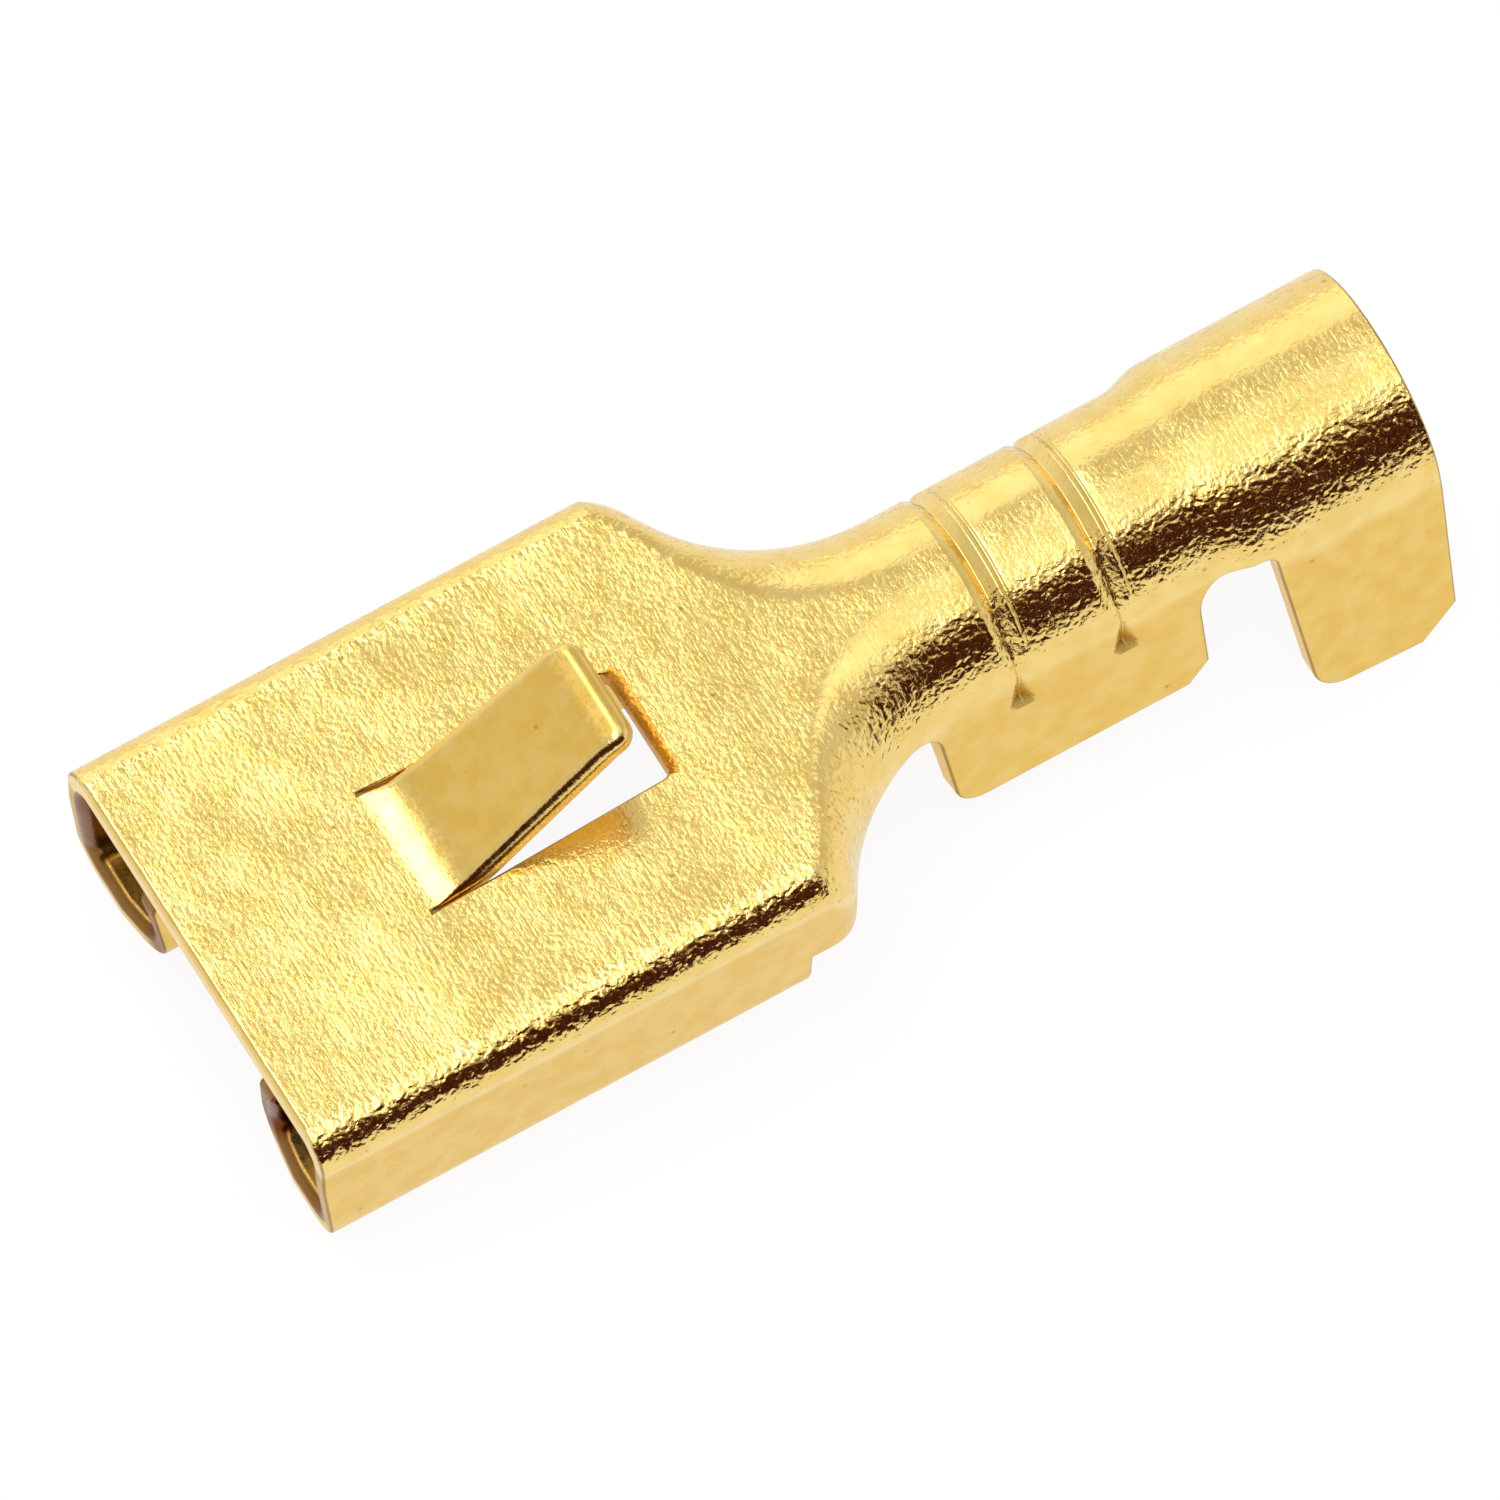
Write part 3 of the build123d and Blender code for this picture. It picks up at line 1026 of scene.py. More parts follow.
    def build(self) -> FoldedSheet:
        """Make the whole mesh in the strip's own frame.

        Returns:
            The mesh, both faces first and then the cut sides.
        """
        loops = self.loops()
        grid = self.face_points()
        points, normals, strip, mask, inner = [], [], [], [], []
        faces: list[tuple[int, ...]] = []
        starts: list[int] = []
        used = 0
        for side in Side:
            outer = side is Side.OUTER
            inset = [l + loop_normals(l) * self.edge_sizes(l, outer)[:, None] for l in loops]
            flat, triangles = self.face(inset, grid)
            depth = np.full(len(flat), 0.0 if outer else self.shape.thickness)
            placed, ways = self.place(flat, depth)
            points.append(placed)
            normals.append(side.value * ways)
            strip.append(flat)
            rim = sum(len(l) for l in loops)
            shown = 0.0 if outer else self.inner_rim
            mask.append(np.r_[np.full(rim, shown), np.zeros(len(flat) - rim)])
            inner.append(np.full(len(flat), 0.0 if outer else 1.0))
            faces += [tuple(used + i for i in t[:: side.value]) for t in triangles]
            starts.append(used)
            used += len(flat)
        face_count = len(faces)
        first = 0
        for loop in loops:
            rings, ring_normals, ring_strip = self.edge_rings(loop)
            size = len(loop)
            rows = [np.arange(starts[0] + first, starts[0] + first + size)]
            rows += [np.arange(size) + used + i * size for i in range(len(rings))]
            rows.append(np.arange(starts[1] + first, starts[1] + first + size))
            for a, b in zip(rows, rows[1:]):
                c, d = np.roll(b, -1), np.roll(a, -1)
                faces += [tuple(int(v) for v in q) for q in zip(a, b, c, d)]
            points += rings
            normals += ring_normals
            strip += ring_strip
            # Painted shade on the rounded rims: weaker on the outer rounding, full on the inner
            # one.
            broad = self.edge_sizes(loop, True) >= self.broad_from
            upper = np.where(broad, self.broad_rim, self.plain_rim)
            for i in range(len(rings)):
                mask.append(upper if i < self.edge_steps else np.ones(size))
                inner.append(np.full(size, (i + 0.5) / len(rings)))
            used += size * len(rings)
            first += size
        return FoldedSheet(
            points=np.vstack(points),
            normals=np.vstack(normals),
            faces=faces,
            strip=np.vstack(strip),
            edge=np.concatenate(mask),
            inner=np.concatenate(inner),
            face_count=face_count,
        )

    def face(self, loops: list[np.ndarray], grid: np.ndarray) -> tuple[np.ndarray, list[list[int]]]:
        """Fill one face of the sheet between its loops.

        Args:
            loops: The face's outline and the cut round the tongue.
            grid: Points spread over the whole strip.

        Returns:
            The flat points, those of the loops first, and the triangles between them.
        """
        kept = grid[inside_loop(grid, loops[0]) & ~inside_loop(grid, loops[1])]
        first, edges = 0, []
        for loop in loops:
            kept = kept[~near_line(kept, loop, self.border_share * self.bend_spacing)]
            count = len(loop)
            edges += [(first + i, first + (i + 1) % count) for i in range(count)]
            first += count
        flat = np.vstack([*loops, kept])
        return flat, self.triangles(flat, edges, loops)

    def triangles(
        self, flat: np.ndarray, edges: list[tuple[int, int]], loops: list[np.ndarray]
    ) -> list[list[int]]:
        """Join the flat points into triangles that keep to the metal.

        Args:
            flat: The flat points.
            edges: The pairs of neighbours along the loops.
            loops: The face's outline and the cut round the tongue.

        Returns:
            The triangles, all turned the same way.
        """
        found = delaunay_2d_cdt([Vector(p) for p in flat], edges, [], 0, MERGE_REACH)
        points, _, faces, sources, *_ = found
        if len(points) != len(flat):
            raise ValueError("two points of the flat strip fell together")
        order = np.asarray([s[0] for s in sources])
        triangles = order[np.asarray(faces)]
        middle = flat[triangles].mean(axis=1)
        kept = inside_loop(middle, loops[0]) & ~inside_loop(middle, loops[1])
        triangles = triangles[kept]
        a, b, c = (flat[triangles[:, i]] for i in range(3))
        (bx, by), (cx, cy) = (b - a).T, (c - a).T
        turned = bx * cy - by * cx < 0
        triangles[turned] = triangles[turned][:, ::-1]
        return triangles.tolist()

    def edge_rings(self, loop: np.ndarray) -> tuple[list[np.ndarray], ...]:
        """The rows of points that round the cut side from the outer face to the inner one.

        Args:
            loop: The cut outline on the flat strip.

        Returns:
            The folded points, the normals and the flat places of each row.
        """
        inward = loop_normals(loop)
        thickness = self.shape.thickness
        rings, ring_normals, strip = [], [], []
        level = np.zeros(len(loop))
        step = inward / np.linalg.norm(inward, axis=1, keepdims=True) * (NORMAL_STEP / 2)
        _, normal = self.place(loop, level)
        outward = self.place(loop - step, level)[0] - self.place(loop + step, level)[0]
        outward -= normal * np.sum(outward * normal, axis=1, keepdims=True)
        outward /= np.linalg.norm(outward, axis=1, keepdims=True)
        for side in Side:
            sizes = self.edge_sizes(loop, side is Side.OUTER)
            steps = range(1, self.edge_steps + 1)
            for i in steps if side is Side.OUTER else reversed(steps):
                angle = math.pi / 2 * i / self.edge_steps
                inset = sizes * (1 - math.sin(angle))
                sunk = sizes * (1 - math.cos(angle))
                depth = sunk if side is Side.OUTER else thickness - sunk
                flat = loop + inward * inset[:, None]
                rings.append(self.place(flat, depth)[0])
                up = side.value * math.cos(angle) * normal
                ring_normals.append(up + math.sin(angle) * outward)
                strip.append(flat)
        return rings, ring_normals, strip


@dataclass(frozen=True)
class Resting:
    """How the strip's own frame lies in the part's frame."""

    pitch: float
    shift: Vector

    @classmethod
    def from_record(cls, record: dict, shape: StripShape) -> "Resting":
        """Read the pitch and the place from the wire barrel's axis.

        Args:
            record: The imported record.
            shape: The strip, whose barrel lies on that axis.

        Returns:
            The pose of the strip's frame.
        """
        mount = next(m for m in record["mounts"] if m["name"] == "wire_barrel")
        axis = mount["axis"]
        pitch = math.atan2(axis[2], axis[0])
        middle = (shape.barrel.start + shape.barrel.flare_start) / 2
        point = Vector((middle, 0.0, -shape.barrel.wire_radius)) * MM
        turned = Matrix.Rotation(-pitch, 3, "Y") @ point
        return cls(pitch, Vector(mount["pos_m"]) - turned)

    def apply(self, points: np.ndarray) -> np.ndarray:
        """Bring points in millimetres into the part's frame in metres."""
        return self.turn(points) * MM + np.asarray(self.shift)

    def turn(self, ways: np.ndarray) -> np.ndarray:
        """Turn directions into the part's frame."""
        return ways @ np.asarray(Matrix.Rotation(-self.pitch, 3, "Y")).T


class NodeMaker:
    """Adds nodes to one tree and hands on the sockets that carry their results."""

    def __init__(self, tree: bpy.types.NodeTree) -> None:
        """Work on a tree."""
        self.tree = tree

    def node(self, kind: str, inputs: dict | None = None, **settings: object) -> bpy.types.Node:
        """Add a node.

        Args:
            kind: The node's type name without its first word, ShaderNode.
            inputs: What fill gives to the node's inputs.
            settings: The node's own properties.

        Returns:
            The new node.
        """
        made = self.tree.nodes.new("ShaderNode" + kind)
        for name, value in settings.items():
            setattr(made, name, value)
        self.fill(made, inputs or {})
        return made

    def fill(self, made: bpy.types.Node, inputs: dict) -> None:
        """Set or link a node's inputs.

        Args:
            made: The node.
            inputs: A number, a colour or a socket to link, for each input's name or place.
        """
        for key, given in inputs.items():
            if isinstance(given, Socket):
                self.tree.links.new(given, made.inputs[key])
            else:
                plain = (*given, 1.0) if isinstance(given, tuple) else given
                made.inputs[key].default_value = plain

    def math(self, operation: str, *values: Value, clamp: bool = False) -> Socket:
        """The result of a Math node on numbers and sockets."""
        made = self.node("Math", dict(enumerate(values)), operation=operation, use_clamp=clamp)
        return made.outputs[0]

    def ranged(
        self, value: Socket, span: Pair, gives: Pair = (0.0, 1.0), smooth: bool = False
    ) -> Socket:
        """Bring a number from one range into another.

        Args:
            value: The number.
            span: The ends of the range that it comes from.
            gives: What those ends become.
            smooth: True for a rise with level ends.

        Returns:
            The result.
        """
        inputs = {"Value": value, "From Min": span[0], "From Max": span[1]}
        inputs |= {"To Min": gives[0], "To Max": gives[1]}
        kind = "SMOOTHSTEP" if smooth else "LINEAR"
        return self.node("MapRange", inputs, interpolation_type=kind).outputs["Result"]

    def mixed(self, share: Socket, first: Tint, second: Tint) -> Socket:
        """The colour between two others that lies at the share."""
        return self.node("Mix", {0: share, 6: first, 7: second}, data_type="RGBA").outputs[2]

    def stored(self, name: str) -> Socket:
        """The number of that name that the mesh keeps at its points."""
        return self.node("Attribute", attribute_type="GEOMETRY", attribute_name=name).outputs["Fac"]

    def height(self, coordinates: str) -> Socket:
        """The upward part of the place, in one of Blender's kinds of coordinates."""
        place = self.node("TexCoord").outputs[coordinates]
        return self.node("SeparateXYZ", {0: place}).outputs["Z"]


class ShaderGroup(NodeMaker):
    """A shader node group with named inputs and outputs, built once."""

    def __init__(self, name: str, inputs: dict[str, float], outputs: Sequence[str]) -> None:
        """Make the group and its sockets.

        Args:
            name: The group's name.
            inputs: The usual value of each input, by name.
            outputs: The names of the outputs.
        """
        super().__init__(bpy.data.node_groups.new(name, "ShaderNodeTree"))
        new_socket, kind = self.tree.interface.new_socket, "NodeSocketFloat"
        for key, usual in inputs.items():
            new_socket(key, in_out="INPUT", socket_type=kind).default_value = usual
        for key in outputs:
            new_socket(key, in_out="OUTPUT", socket_type=kind)
        self.entry = self.tree.nodes.new("NodeGroupInput")
        self.exit = self.tree.nodes.new("NodeGroupOutput")

    def given(self, name: str) -> Socket:
        """What the group's input of that name carries."""
        return self.entry.outputs[name]

    def giving(self, results: dict[str, Socket]) -> bpy.types.NodeTree:
        """Link the results to the outputs of those names and hand over the group."""
        self.fill(self.exit, results)
        return self.tree


def grain_group() -> bpy.types.NodeTree:
    """The rolling grain: fine short lines that run across the flat strip and follow its folds.

    Returns:
        The group, which gives the lines.
    """
    inputs = {"Lines per mm": 9.0, "Length share": 0.12, "Patchiness": 0.6}
    group = ShaderGroup("rolling_grain", inputs, ["Lines"])
    strip = group.node("UVMap", uv_map=STRIP_UV).outputs["UV"]
    along = group.given("Lines per mm")
    over = group.math("MULTIPLY", along, group.given("Length share"))
    scale = group.node("CombineXYZ", {0: along, 1: over}).outputs[0]
    place = group.node("VectorMath", {0: strip, 1: scale}, operation="MULTIPLY").outputs[0]
    lines = group.node("TexNoise", {"Vector": place, "Scale": 1.0, "Detail": 3.0, "Roughness": 0.6})
    patches = group.node("TexNoise", {"Vector": strip, "Scale": 0.9, "Detail": 2.0})
    reach = group.ranged(patches.outputs["Fac"], (0.35, 0.65))
    shown = group.node("Mix", {0: group.given("Patchiness"), 2: 1.0, 3: reach}, data_type="FLOAT")
    centred = group.math("SUBTRACT", lines.outputs["Fac"], 0.5)
    return group.giving({"Lines": group.math("MULTIPLY", centred, shown.outputs[0])})


def pebble_group() -> bpy.types.NodeTree:
    """The stamped skin of soft brass: grains, dimples, clouds and a slow wave, in mm.

    Returns:
        The group, which gives the height and the noises that make it.
    """
    heights = {
        "Grain height": 0.008,
        "Dimple height": 0.010,
        "Cloud height": 0.004,
        "Wave height": 0.05,
    }
    outputs = ["Height", "Grains", "Clouds", "Specks"]
    group = ShaderGroup("pebbled_skin", {"Grains per mm": 8.0, **heights}, outputs)
    place = group.node("TexCoord").outputs["Object"]
    place = group.node("VectorMath", {0: place, "Scale": 1 / MM}, operation="SCALE").outputs[0]
    layers = (
        {"Scale": group.given("Grains per mm"), "Detail": 2.0, "Roughness": 0.55},
        {"Scale": 6.5, "Detail": 1.0, "Roughness": 0.5, "Distortion": 0.3},
        {"Scale": 2.4, "Detail": 1.0, "Roughness": 0.5},
        {"Scale": 0.42, "Detail": 1.0, "Roughness": 0.4},
    )
    total: Value = 0.0
    noises: list[Socket] = []
    for name, layer in zip(heights, layers):
        noises.append(group.node("TexNoise", {"Vector": place, **layer}).outputs["Fac"])
        total = group.math("MULTIPLY_ADD", noises[-1], group.given(name), total)
    cells = group.node("TexVoronoi", {"Vector": place, "Scale": 1.35, "Randomness": 1.0})
    specks = group.ranged(cells.outputs["Distance"], (0.03, 0.08), (1.0, 0.0))
    grains, _, clouds, _ = noises
    return group.giving({"Height": total, "Grains": grains, "Clouds": clouds, "Specks": specks})


def rim_group() -> bpy.types.NodeTree:
    """A mask of painted shade that is 1 on the rounded rims of the cut sheet and fades into its
    faces.

    Returns:
        The group, which gives the mask.
    """
    group = ShaderGroup("cut_rim", {"Sharpness": 1.0}, ["Rim"])
    rim = group.math("POWER", group.stored(EDGE_MASK), group.given("Sharpness"))
    return group.giving({"Rim": rim})


def new_paint(name: str) -> tuple[bpy.types.Material, NodeMaker, bpy.types.Node]:
    """Start a material.

    Args:
        name: The material's name.

    Returns:
        The material, the maker of its nodes and its Principled shader.
    """
    made = bpy.data.materials.new(name)
    made.use_nodes = True
    return made, NodeMaker(made.node_tree), made.node_tree.nodes["Principled BSDF"]


def put_in_scene(name: str, data: bpy.types.ID) -> bpy.types.Object:
    """Put a mesh, light or camera into the scene as an object of that name.

    Args:
        name: The object's name.
        data: What it shows.

    Returns:
        The object.
    """
    made = bpy.data.objects.new(name, data)
    bpy.context.scene.collection.objects.link(made)
    return made


def put_sheet(
    name: str, corners: Sequence[Sequence[float]], paint: bpy.types.Material
) -> bpy.types.Object:
    """Put a flat sheet of the studio into the scene.

    Args:
        name: The sheet's name.
        corners: Its four corners in turn, in metres.
        paint: Its material.

    Returns:
        The sheet.
    """
    mesh = bpy.data.meshes.new(name)
    mesh.from_pydata(corners, [], [(0, 1, 2, 3)])
    mesh.materials.append(paint)
    return put_in_scene(name, mesh)


@dataclass(frozen=True)
class BrassFinish:
    """One finish of the brass: its colours, its relief in mm and how strongly each effect shows."""

    name: str
    pale: Colour
    deep: Colour
    # rim is the colour of the painted shade on the cut rims.
    rim: Colour
    # The colour of the painted shade on the inner faces of the rolls.
    painted_roll_shade: Colour = (0.16, 0.035, 0.008)
    roughness: float = 0.18
    roughness_spread: float = 0.10
    scratch_height: float = 0.0120
    grain_height: float = 0.0125
    dimple_height: float = 0.030
    dimple_power: float = 3.0
    cloud_height: float = 0.005
    wave_height: float = 0.06
    grains_per_mm: float = 13.0
    lines_per_mm: float = 18.0
    rim_strength: float = 0.85
    # flank_depth deepens the colour on flat sides as painted shade, and scales their matt rise.
    flank_depth: float = 0.6
    flank_matt: float = 0.20
    cloudiness: float = 0.4
    speck_strength: float = 0.38
    cloud_span: Pair = (0.36, 0.64)
    grain_span: Pair = (0.30, 0.70)
    flank_span: Pair = (0.12, 0.35)

    def build(self, groups: dict[str, bpy.types.NodeTree]) -> bpy.types.Material:
        """Make the material.

        Args:
            groups: The shared shader groups by name.

        Returns:
            The new material.
        """
        made, nodes, shader = new_paint(self.name)
        formed = nodes.stored(SKIN_MASK)
        bent = nodes.math("POWER", formed, self.dimple_power)
        skin = nodes.node("Group", node_tree=groups["pebbled_skin"], inputs={
            "Grains per mm": self.grains_per_mm,
            "Grain height": nodes.math("MULTIPLY", formed, self.grain_height),
            "Dimple height": nodes.math("MULTIPLY", bent, self.dimple_height),
            "Cloud height": self.cloud_height,
            "Wave height": self.wave_height,
        }).outputs
        spaced = {"Lines per mm": self.lines_per_mm}
        grain = nodes.node("Group", spaced, node_tree=groups["rolling_grain"])
        rim = nodes.node("Group", node_tree=groups["cut_rim"]).outputs["Rim"]
        # Painted shade: flat sides and the tongue get a deeper colour, and grow more matt.
        flank = nodes.ranged(formed, self.flank_span, (self.flank_depth, 0.0))
        lines = nodes.math("MULTIPLY", formed, grain.outputs["Lines"])
        nodes.fill(shader, {
            "Metallic": 1.0,
            "Base Color": self.colour(nodes, skin["Clouds"], skin["Specks"], flank, rim),
            "Roughness": self.dullness(nodes, skin["Grains"], flank),
            "Normal": self.relief(nodes, skin["Height"], lines),
        })
        return made

    def colour(
        self, nodes: NodeMaker, clouds: Socket, specks: Socket, flank: Socket, rim: Socket
    ) -> Socket:
        """The colour: deeper in clouds, with dark specks and painted shade on flanks, rims and in
        rolls.

        Args:
            nodes: The maker of the material's nodes.
            clouds: The slow noise that the colour follows.
            specks: The mask of the small dark specks.
            flank: How far each point lies on a flat side, which sets the painted shade there.
            rim: The mask of the painted shade on the cut rims.

        Returns:
            The colour.
        """
        cloudy = nodes.ranged(clouds, self.cloud_span)
        # Random clouds and the painted shade on flat sides deepen the colour.
        deeper = nodes.math("MULTIPLY_ADD", cloudy, self.cloudiness, flank, clamp=True)
        body = nodes.mixed(deeper, self.pale, self.deep)
        # Painted shade on the rims; the specks are the metal's own dark spots.
        painted_rim_shade = nodes.math("MULTIPLY", rim, self.rim_strength)
        spotted = nodes.math("MULTIPLY", specks, self.speck_strength)
        marked = nodes.mixed(nodes.math("MAXIMUM", painted_rim_shade, spotted), body, self.rim)
        # Painted shade inside the rolls darkens the colour there.
        return nodes.mixed(nodes.stored(PAINTED_ROLL_SHADE_MASK), marked, self.painted_roll_shade)

    def dullness(self, nodes: NodeMaker, grains: Socket, flank: Socket) -> Socket:
        """The roughness, which follows the grains and rises on the flat sides.

        Args:
            nodes: The maker of the material's nodes.
            grains: The noise of the grains.
            flank: How far each point lies on a flat side.

        Returns:
            The roughness.
        """
        half = self.roughness_spread / 2
        spread = (self.roughness - half, self.roughness + half)
        grainy = nodes.ranged(grains, self.grain_span, spread)
        return nodes.math("MULTIPLY_ADD", flank, self.flank_matt, grainy)

    def relief(self, nodes: NodeMaker, height: Socket, lines: Socket) -> Socket:
        """The normal, from the pebbled skin and the rolled lines on it.

        Args:
            nodes: The maker of the material's nodes.
            height: The height of the skin in mm.
            lines: The rolled lines, from -0.5 to 0.5.

        Returns:
            The normal.
        """
        normal: dict[str, Socket] = {}
        for depth, raised in ((MM, height), (self.scratch_height * MM, lines)):
            inputs = {"Strength": 1.0, "Distance": depth, "Height": raised, **normal}
            normal = {"Normal": nodes.node("Bump", inputs).outputs["Normal"]}
        return normal["Normal"]


ROLLED = BrassFinish(
    name="rolled_brass",
    pale=(0.89, 0.66, 0.23),
    deep=(0.80, 0.52, 0.11),
    rim=(0.15, 0.045, 0.012),
)
CUT = BrassFinish(
    name="cut_brass",
    pale=(0.92, 0.69, 0.29),
    deep=(0.84, 0.58, 0.20),
    rim=(0.60, 0.34, 0.12),
    roughness=0.34,
    scratch_height=0.0,
    wave_height=0.0,
    rim_strength=0.0,
)
SHEARED = BrassFinish(
    name="sheared_brass",
    pale=(0.70, 0.36, 0.05),
    deep=(0.30, 0.09, 0.01),
    rim=(0.30, 0.12, 0.03),
    roughness=0.38,
    scratch_height=0.0,
    grain_height=0.06,
    dimple_height=0.12,
    wave_height=0.0,
    rim_strength=0.0,
)


class Surface(Enum):
    """The kinds of surface on the terminal, by the place of their material."""

    ROLLED = 0
    CUT = 1
    SHEARED = 2


@dataclass
class Terminal:
    """The folded brass terminal."""

    shape: StripShape = field(default_factory=StripShape)
    finishes: tuple[BrassFinish, ...] = (ROLLED, CUT, SHEARED)
    window_reach: float = 0.12

    def build(self, record: dict) -> bpy.types.Object:
        """Mesh, place and dress the terminal.

        Args:
            record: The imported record.

        Returns:
            The finished object.
        """
        mesher = SheetMesher(self.shape)
        sheet = mesher.build()
        resting = Resting.from_record(record, self.shape)
        mesh = bpy.data.meshes.new("folded_strip")
        mesh.from_pydata(resting.apply(sheet.points).tolist(), [], sheet.faces)
        uv = mesh.uv_layers.new(name=STRIP_UV)
        corner = np.empty(len(mesh.loops), int)
        mesh.loops.foreach_get("vertex_index", corner)
        uv.data.foreach_set("uv", sheet.strip[corner].astype(np.float32).ravel())
        masks = {
            EDGE_MASK: sheet.edge,
            SKIN_MASK: self.shape.skin(*sheet.strip.T),
            PAINTED_ROLL_SHADE_MASK: self.shape.painted_roll_shade(*sheet.strip.T, sheet.inner),
        }
        for name, mask in masks.items():
            stored = mesh.attributes.new(name, "FLOAT", "POINT").data
            stored.foreach_set("value", mask.astype(np.float32))
        groups = {tree.name: tree for tree in (grain_group(), pebble_group(), rim_group())}
        for finish in self.finishes:
            mesh.materials.append(finish.build(groups))
        count = len(mesh.polygons)
        slots = np.zeros(count, np.int32)
        slots[sheet.face_count :] = self.cut_sides(mesher, count - sheet.face_count)
        mesh.polygons.foreach_set("material_index", slots)
        mesh.polygons.foreach_set("use_smooth", np.ones(count, bool))
        mesh.normals_split_custom_set_from_vertices(resting.turn(sheet.normals).tolist())
        mesh.update()
        made = put_in_scene("folded_brass_strip", mesh)
        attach(made, BODY)
        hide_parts(CAD_NODE)
        log.info("folded brass strip: %d vertices, %d faces", len(mesh.vertices), count)
        return made

    def cut_sides(self, mesher: SheetMesher, count: int) -> np.ndarray:
        """The material index of each face on the cut sides.

        The rounded rims keep the rolled skin, and the window's closed end is rough and dark.

        Args:
            mesher: The mesher of the strip.
            count: The number of faces on the cut sides.

        Returns:
            One index for each of those faces.
        """
        slots = np.zeros(count, np.int32)
        lance = self.shape.lance
        first = 0
        for loop in mesher.loops():
            x, s = loop.T
            closed = (np.abs(s) < lance.window_end_half) & ~lance.on_tongue(x, s)
            closed &= np.abs(x - lance.window_end) < self.window_reach
            for row in range(2 * mesher.edge_steps + 1):
                plain = Surface.CUT if row == mesher.edge_steps else Surface.ROLLED
                if row <= mesher.edge_steps:
                    found = np.where(closed, Surface.SHEARED.value, plain.value)
                    slots[first : first + len(loop)] = found
                first += len(loop)
        return slots


@dataclass(frozen=True)
class Softbox:
    """A soft light: the way from the part to it, its sizes in metres and its power in watts."""

    name: str
    way: tuple[float, float, float]
    size: Pair
    power: float
    distance: float = 0.45


LIGHTS = (
    Softbox("key", (-0.14, 0.06, 1.0), (0.22, 0.66), 1.45),
    Softbox("rear_top", (0.45, -0.10, 1.0), (0.14, 0.30), 0.10),
    Softbox("far_side", (0.10, 0.86, 0.50), (0.40, 0.26), 0.20),
)


@dataclass(frozen=True)
class DarkCard:
    """A dark card beside the part, to be seen only as a reflection in the metal, in millimetres.

    It grows warmer towards its upper edge and fades out there.
    """

    name: str = "near_flag"
    place: tuple[float, float, float] = (-26.0, -45.0, 0.05)
    width: float = 148.0
    height: float = 62.0
    shade: Colour = (0.045, 0.004, 0.0005)
    top: Colour = (0.42, 0.16, 0.025)
    fade_from: float = 0.75
    warm_from: float = 0.60

    def build(self) -> bpy.types.Object:
        """Stand the card up.

        Returns:
            The card.
        """
        paint, nodes, shader = new_paint(self.name)
        level, high = nodes.height("Object"), self.height * MM
        warm = nodes.ranged(level, (self.warm_from * high, high), smooth=True)
        nodes.fill(shader, {
            "Base Color": (0.0, 0.0, 0.0),
            "Roughness": 1.0,
            "Specular IOR Level": 0.0,
            "Alpha": nodes.ranged(level, (self.fade_from * high, high), (1.0, 0.0), smooth=True),
            "Emission Color": nodes.mixed(warm, self.shade, self.top),
            "Emission Strength": 1.0,
        })
        half = self.width * MM / 2
        corners = [(-half, 0, 0), (half, 0, 0), (half, 0, high), (-half, 0, high)]
        made = put_sheet(self.name, corners, paint)
        made.location = Vector(self.place) * MM
        made.visible_camera = False
        made.visible_diffuse = False
        made.visible_shadow = False
        return made


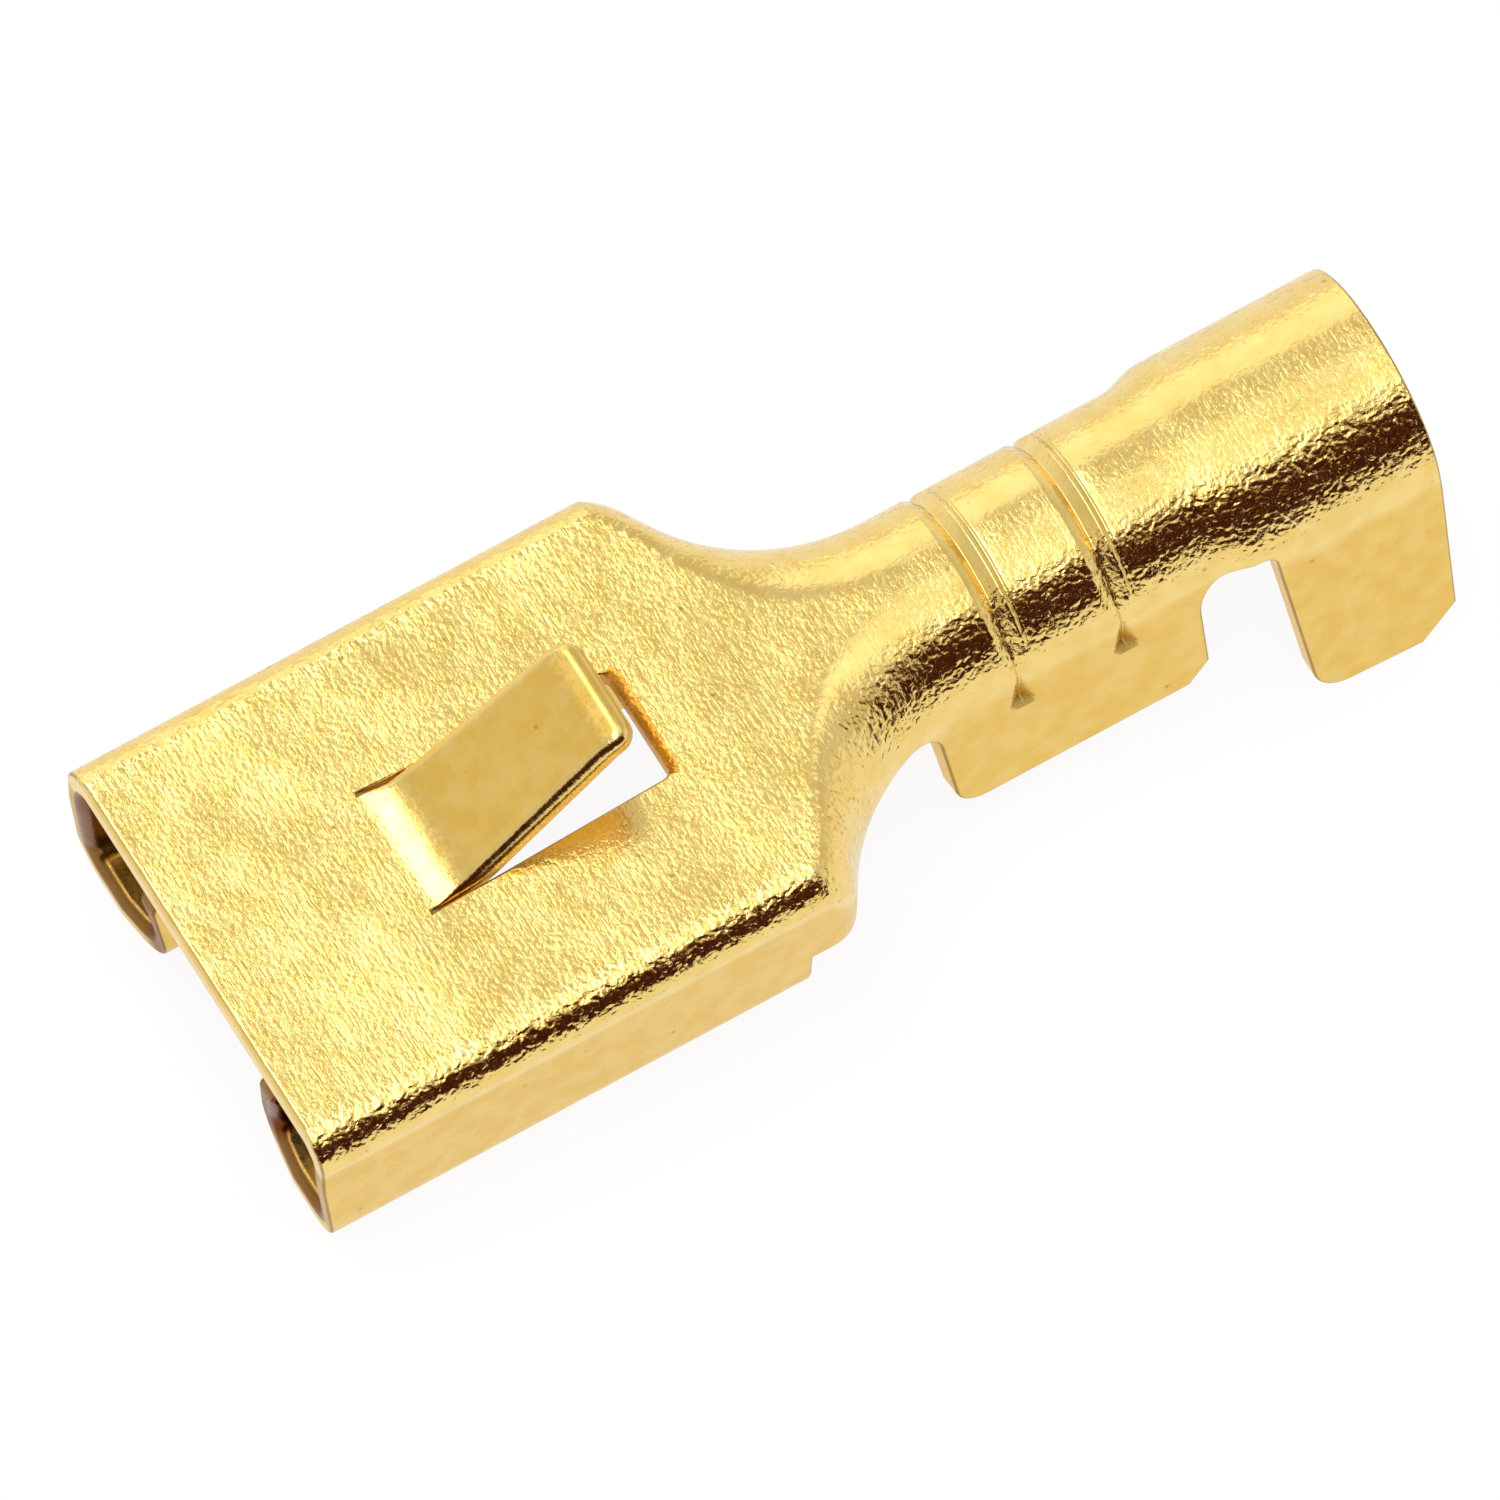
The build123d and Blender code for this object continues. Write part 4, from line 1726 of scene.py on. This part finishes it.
@dataclass
class Studio:
    """The pale floor, the soft lights, the dark card and the camera.

    Directions and the camera's place are given in the strip's own frame, and resting turns them.
    """

    resting: Resting
    right: Vector = field(default_factory=lambda: Vector((0.864171, -0.502888, -0.017653)))
    back: Vector = field(default_factory=lambda: Vector((-0.198568, -0.373037, 0.906320)))
    view_width: float = 22.392
    view_right: float = 8.3066
    view_up: float = 3.1359
    lens: float = 1500.0
    sensor: float = 36.0
    clip: Pair = (0.1, 20.0)
    floor_reach: float = 1.5
    floor_colour: Colour = (0.95, 0.95, 0.95)
    floor_roughness: float = 0.9
    floor_gloss: float = 0.1
    floor_glow: float = 0.90
    room_colour: Colour = (1.0, 0.99, 0.97)
    room_span: Pair = (0.0, 0.65)
    room_light: Pair = (1.0, 0.70)
    lights: tuple[Softbox, ...] = LIGHTS
    card: DarkCard = DarkCard()

    def turned(self, way: Sequence[float]) -> Vector:
        """Turn a direction of the strip's frame into the part's frame."""
        return Vector(self.resting.turn(np.asarray([way]))[0]).normalized()

    def camera(self) -> bpy.types.Object:
        """Place the camera as the photograph was taken.

        Returns:
            The camera.
        """
        back, right = self.turned(self.back), self.turned(self.right)
        right = (right - back * right.dot(back)).normalized()
        up = back.cross(right)
        flat_up = self.back.cross(self.right)
        middle = self.right * self.view_right + flat_up * self.view_up
        data = bpy.data.cameras.new("camera")
        data.lens, data.sensor_width = self.lens, self.sensor
        data.clip_start, data.clip_end = self.clip
        target = Vector(self.resting.apply(np.asarray([middle]))[0])
        spot = target + back * (self.view_width * MM * self.lens / self.sensor)
        turn = Matrix((right, up, back)).transposed()
        made = put_in_scene("camera", data)
        made.matrix_world = Matrix.Translation(spot) @ turn.to_4x4()
        bpy.context.scene.camera = made
        return made

    def floor(self) -> bpy.types.Object:
        """Lay the pale floor.

        Returns:
            The floor.
        """
        paint, nodes, shader = new_paint("pale_floor")
        nodes.fill(shader, {
            "Base Color": self.floor_colour,
            "Roughness": self.floor_roughness,
            "Specular IOR Level": self.floor_gloss,
        })
        self.glow(nodes, shader)
        reach = self.floor_reach
        corners = [(-reach, -reach, 0), (reach, -reach, 0), (reach, reach, 0), (-reach, reach, 0)]
        made = put_sheet("floor", corners, paint)
        return made

    def glow(self, nodes: NodeMaker, shader: bpy.types.Node) -> None:
        """Mix plain white into the floor for the camera and for reflections alone.

        Args:
            nodes: The maker of the floor's nodes.
            shader: The floor's shader.
        """
        ray = nodes.node("LightPath").outputs
        seen = nodes.math("MAXIMUM", ray["Is Camera Ray"], ray["Is Glossy Ray"])
        seen = nodes.math("MAXIMUM", seen, ray["Is Transmission Ray"])
        white = nodes.node("Emission", {"Color": (1.0, 1.0, 1.0), "Strength": 1.0})
        share = nodes.math("MULTIPLY", seen, self.floor_glow)
        both = nodes.node("MixShader", {0: share, 1: shader.outputs[0], 2: white.outputs[0]})
        nodes.fill(nodes.tree.nodes["Material Output"], {"Surface": both.outputs[0]})

    def hang(self, light: Softbox) -> bpy.types.Object:
        """Hang a soft light that faces the part.

        Args:
            light: What it is and where it hangs.

        Returns:
            The lamp.
        """
        data = bpy.data.lights.new(light.name, "AREA")
        data.shape = "RECTANGLE"
        data.size, data.size_y = light.size
        data.energy = light.power
        out = self.turned(light.way)
        side = Vector((0.0, 1.0, 0.0)).cross(out).normalized()
        turn = Matrix((side, out.cross(side), out)).transposed()
        made = put_in_scene(light.name, data)
        made.matrix_world = Matrix.Translation(out * light.distance) @ turn.to_4x4()
        return made

    def room(self) -> None:
        """Fill the room with plain pale light, brighter towards the horizon."""
        world = bpy.data.worlds.new("room")
        world.use_nodes = True
        nodes = NodeMaker(world.node_tree)
        level = nodes.height("Generated")
        light = nodes.ranged(level, self.room_span, self.room_light, smooth=True)
        shade = world.node_tree.nodes["Background"]
        nodes.fill(shade, {"Color": self.room_colour, "Strength": light})
        bpy.context.scene.world = world

    def build(self) -> None:
        """Set up everything round the part."""
        self.camera()
        self.floor()
        self.room()
        for light in self.lights:
            self.hang(light)
        self.card.build()
        bpy.context.scene.view_settings.view_transform = "Standard"
        log.info("studio: floor, %d soft lights, dark card and camera", len(self.lights))


def main() -> None:
    """Build the scene and report each piece."""
    logging.basicConfig(level=logging.INFO, format="%(message)s")
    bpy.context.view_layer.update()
    terminal = Terminal()
    terminal.build(frame["record"])
    Studio(Resting.from_record(frame["record"], terminal.shape)).build()


if __name__ == "__main__":
    main()
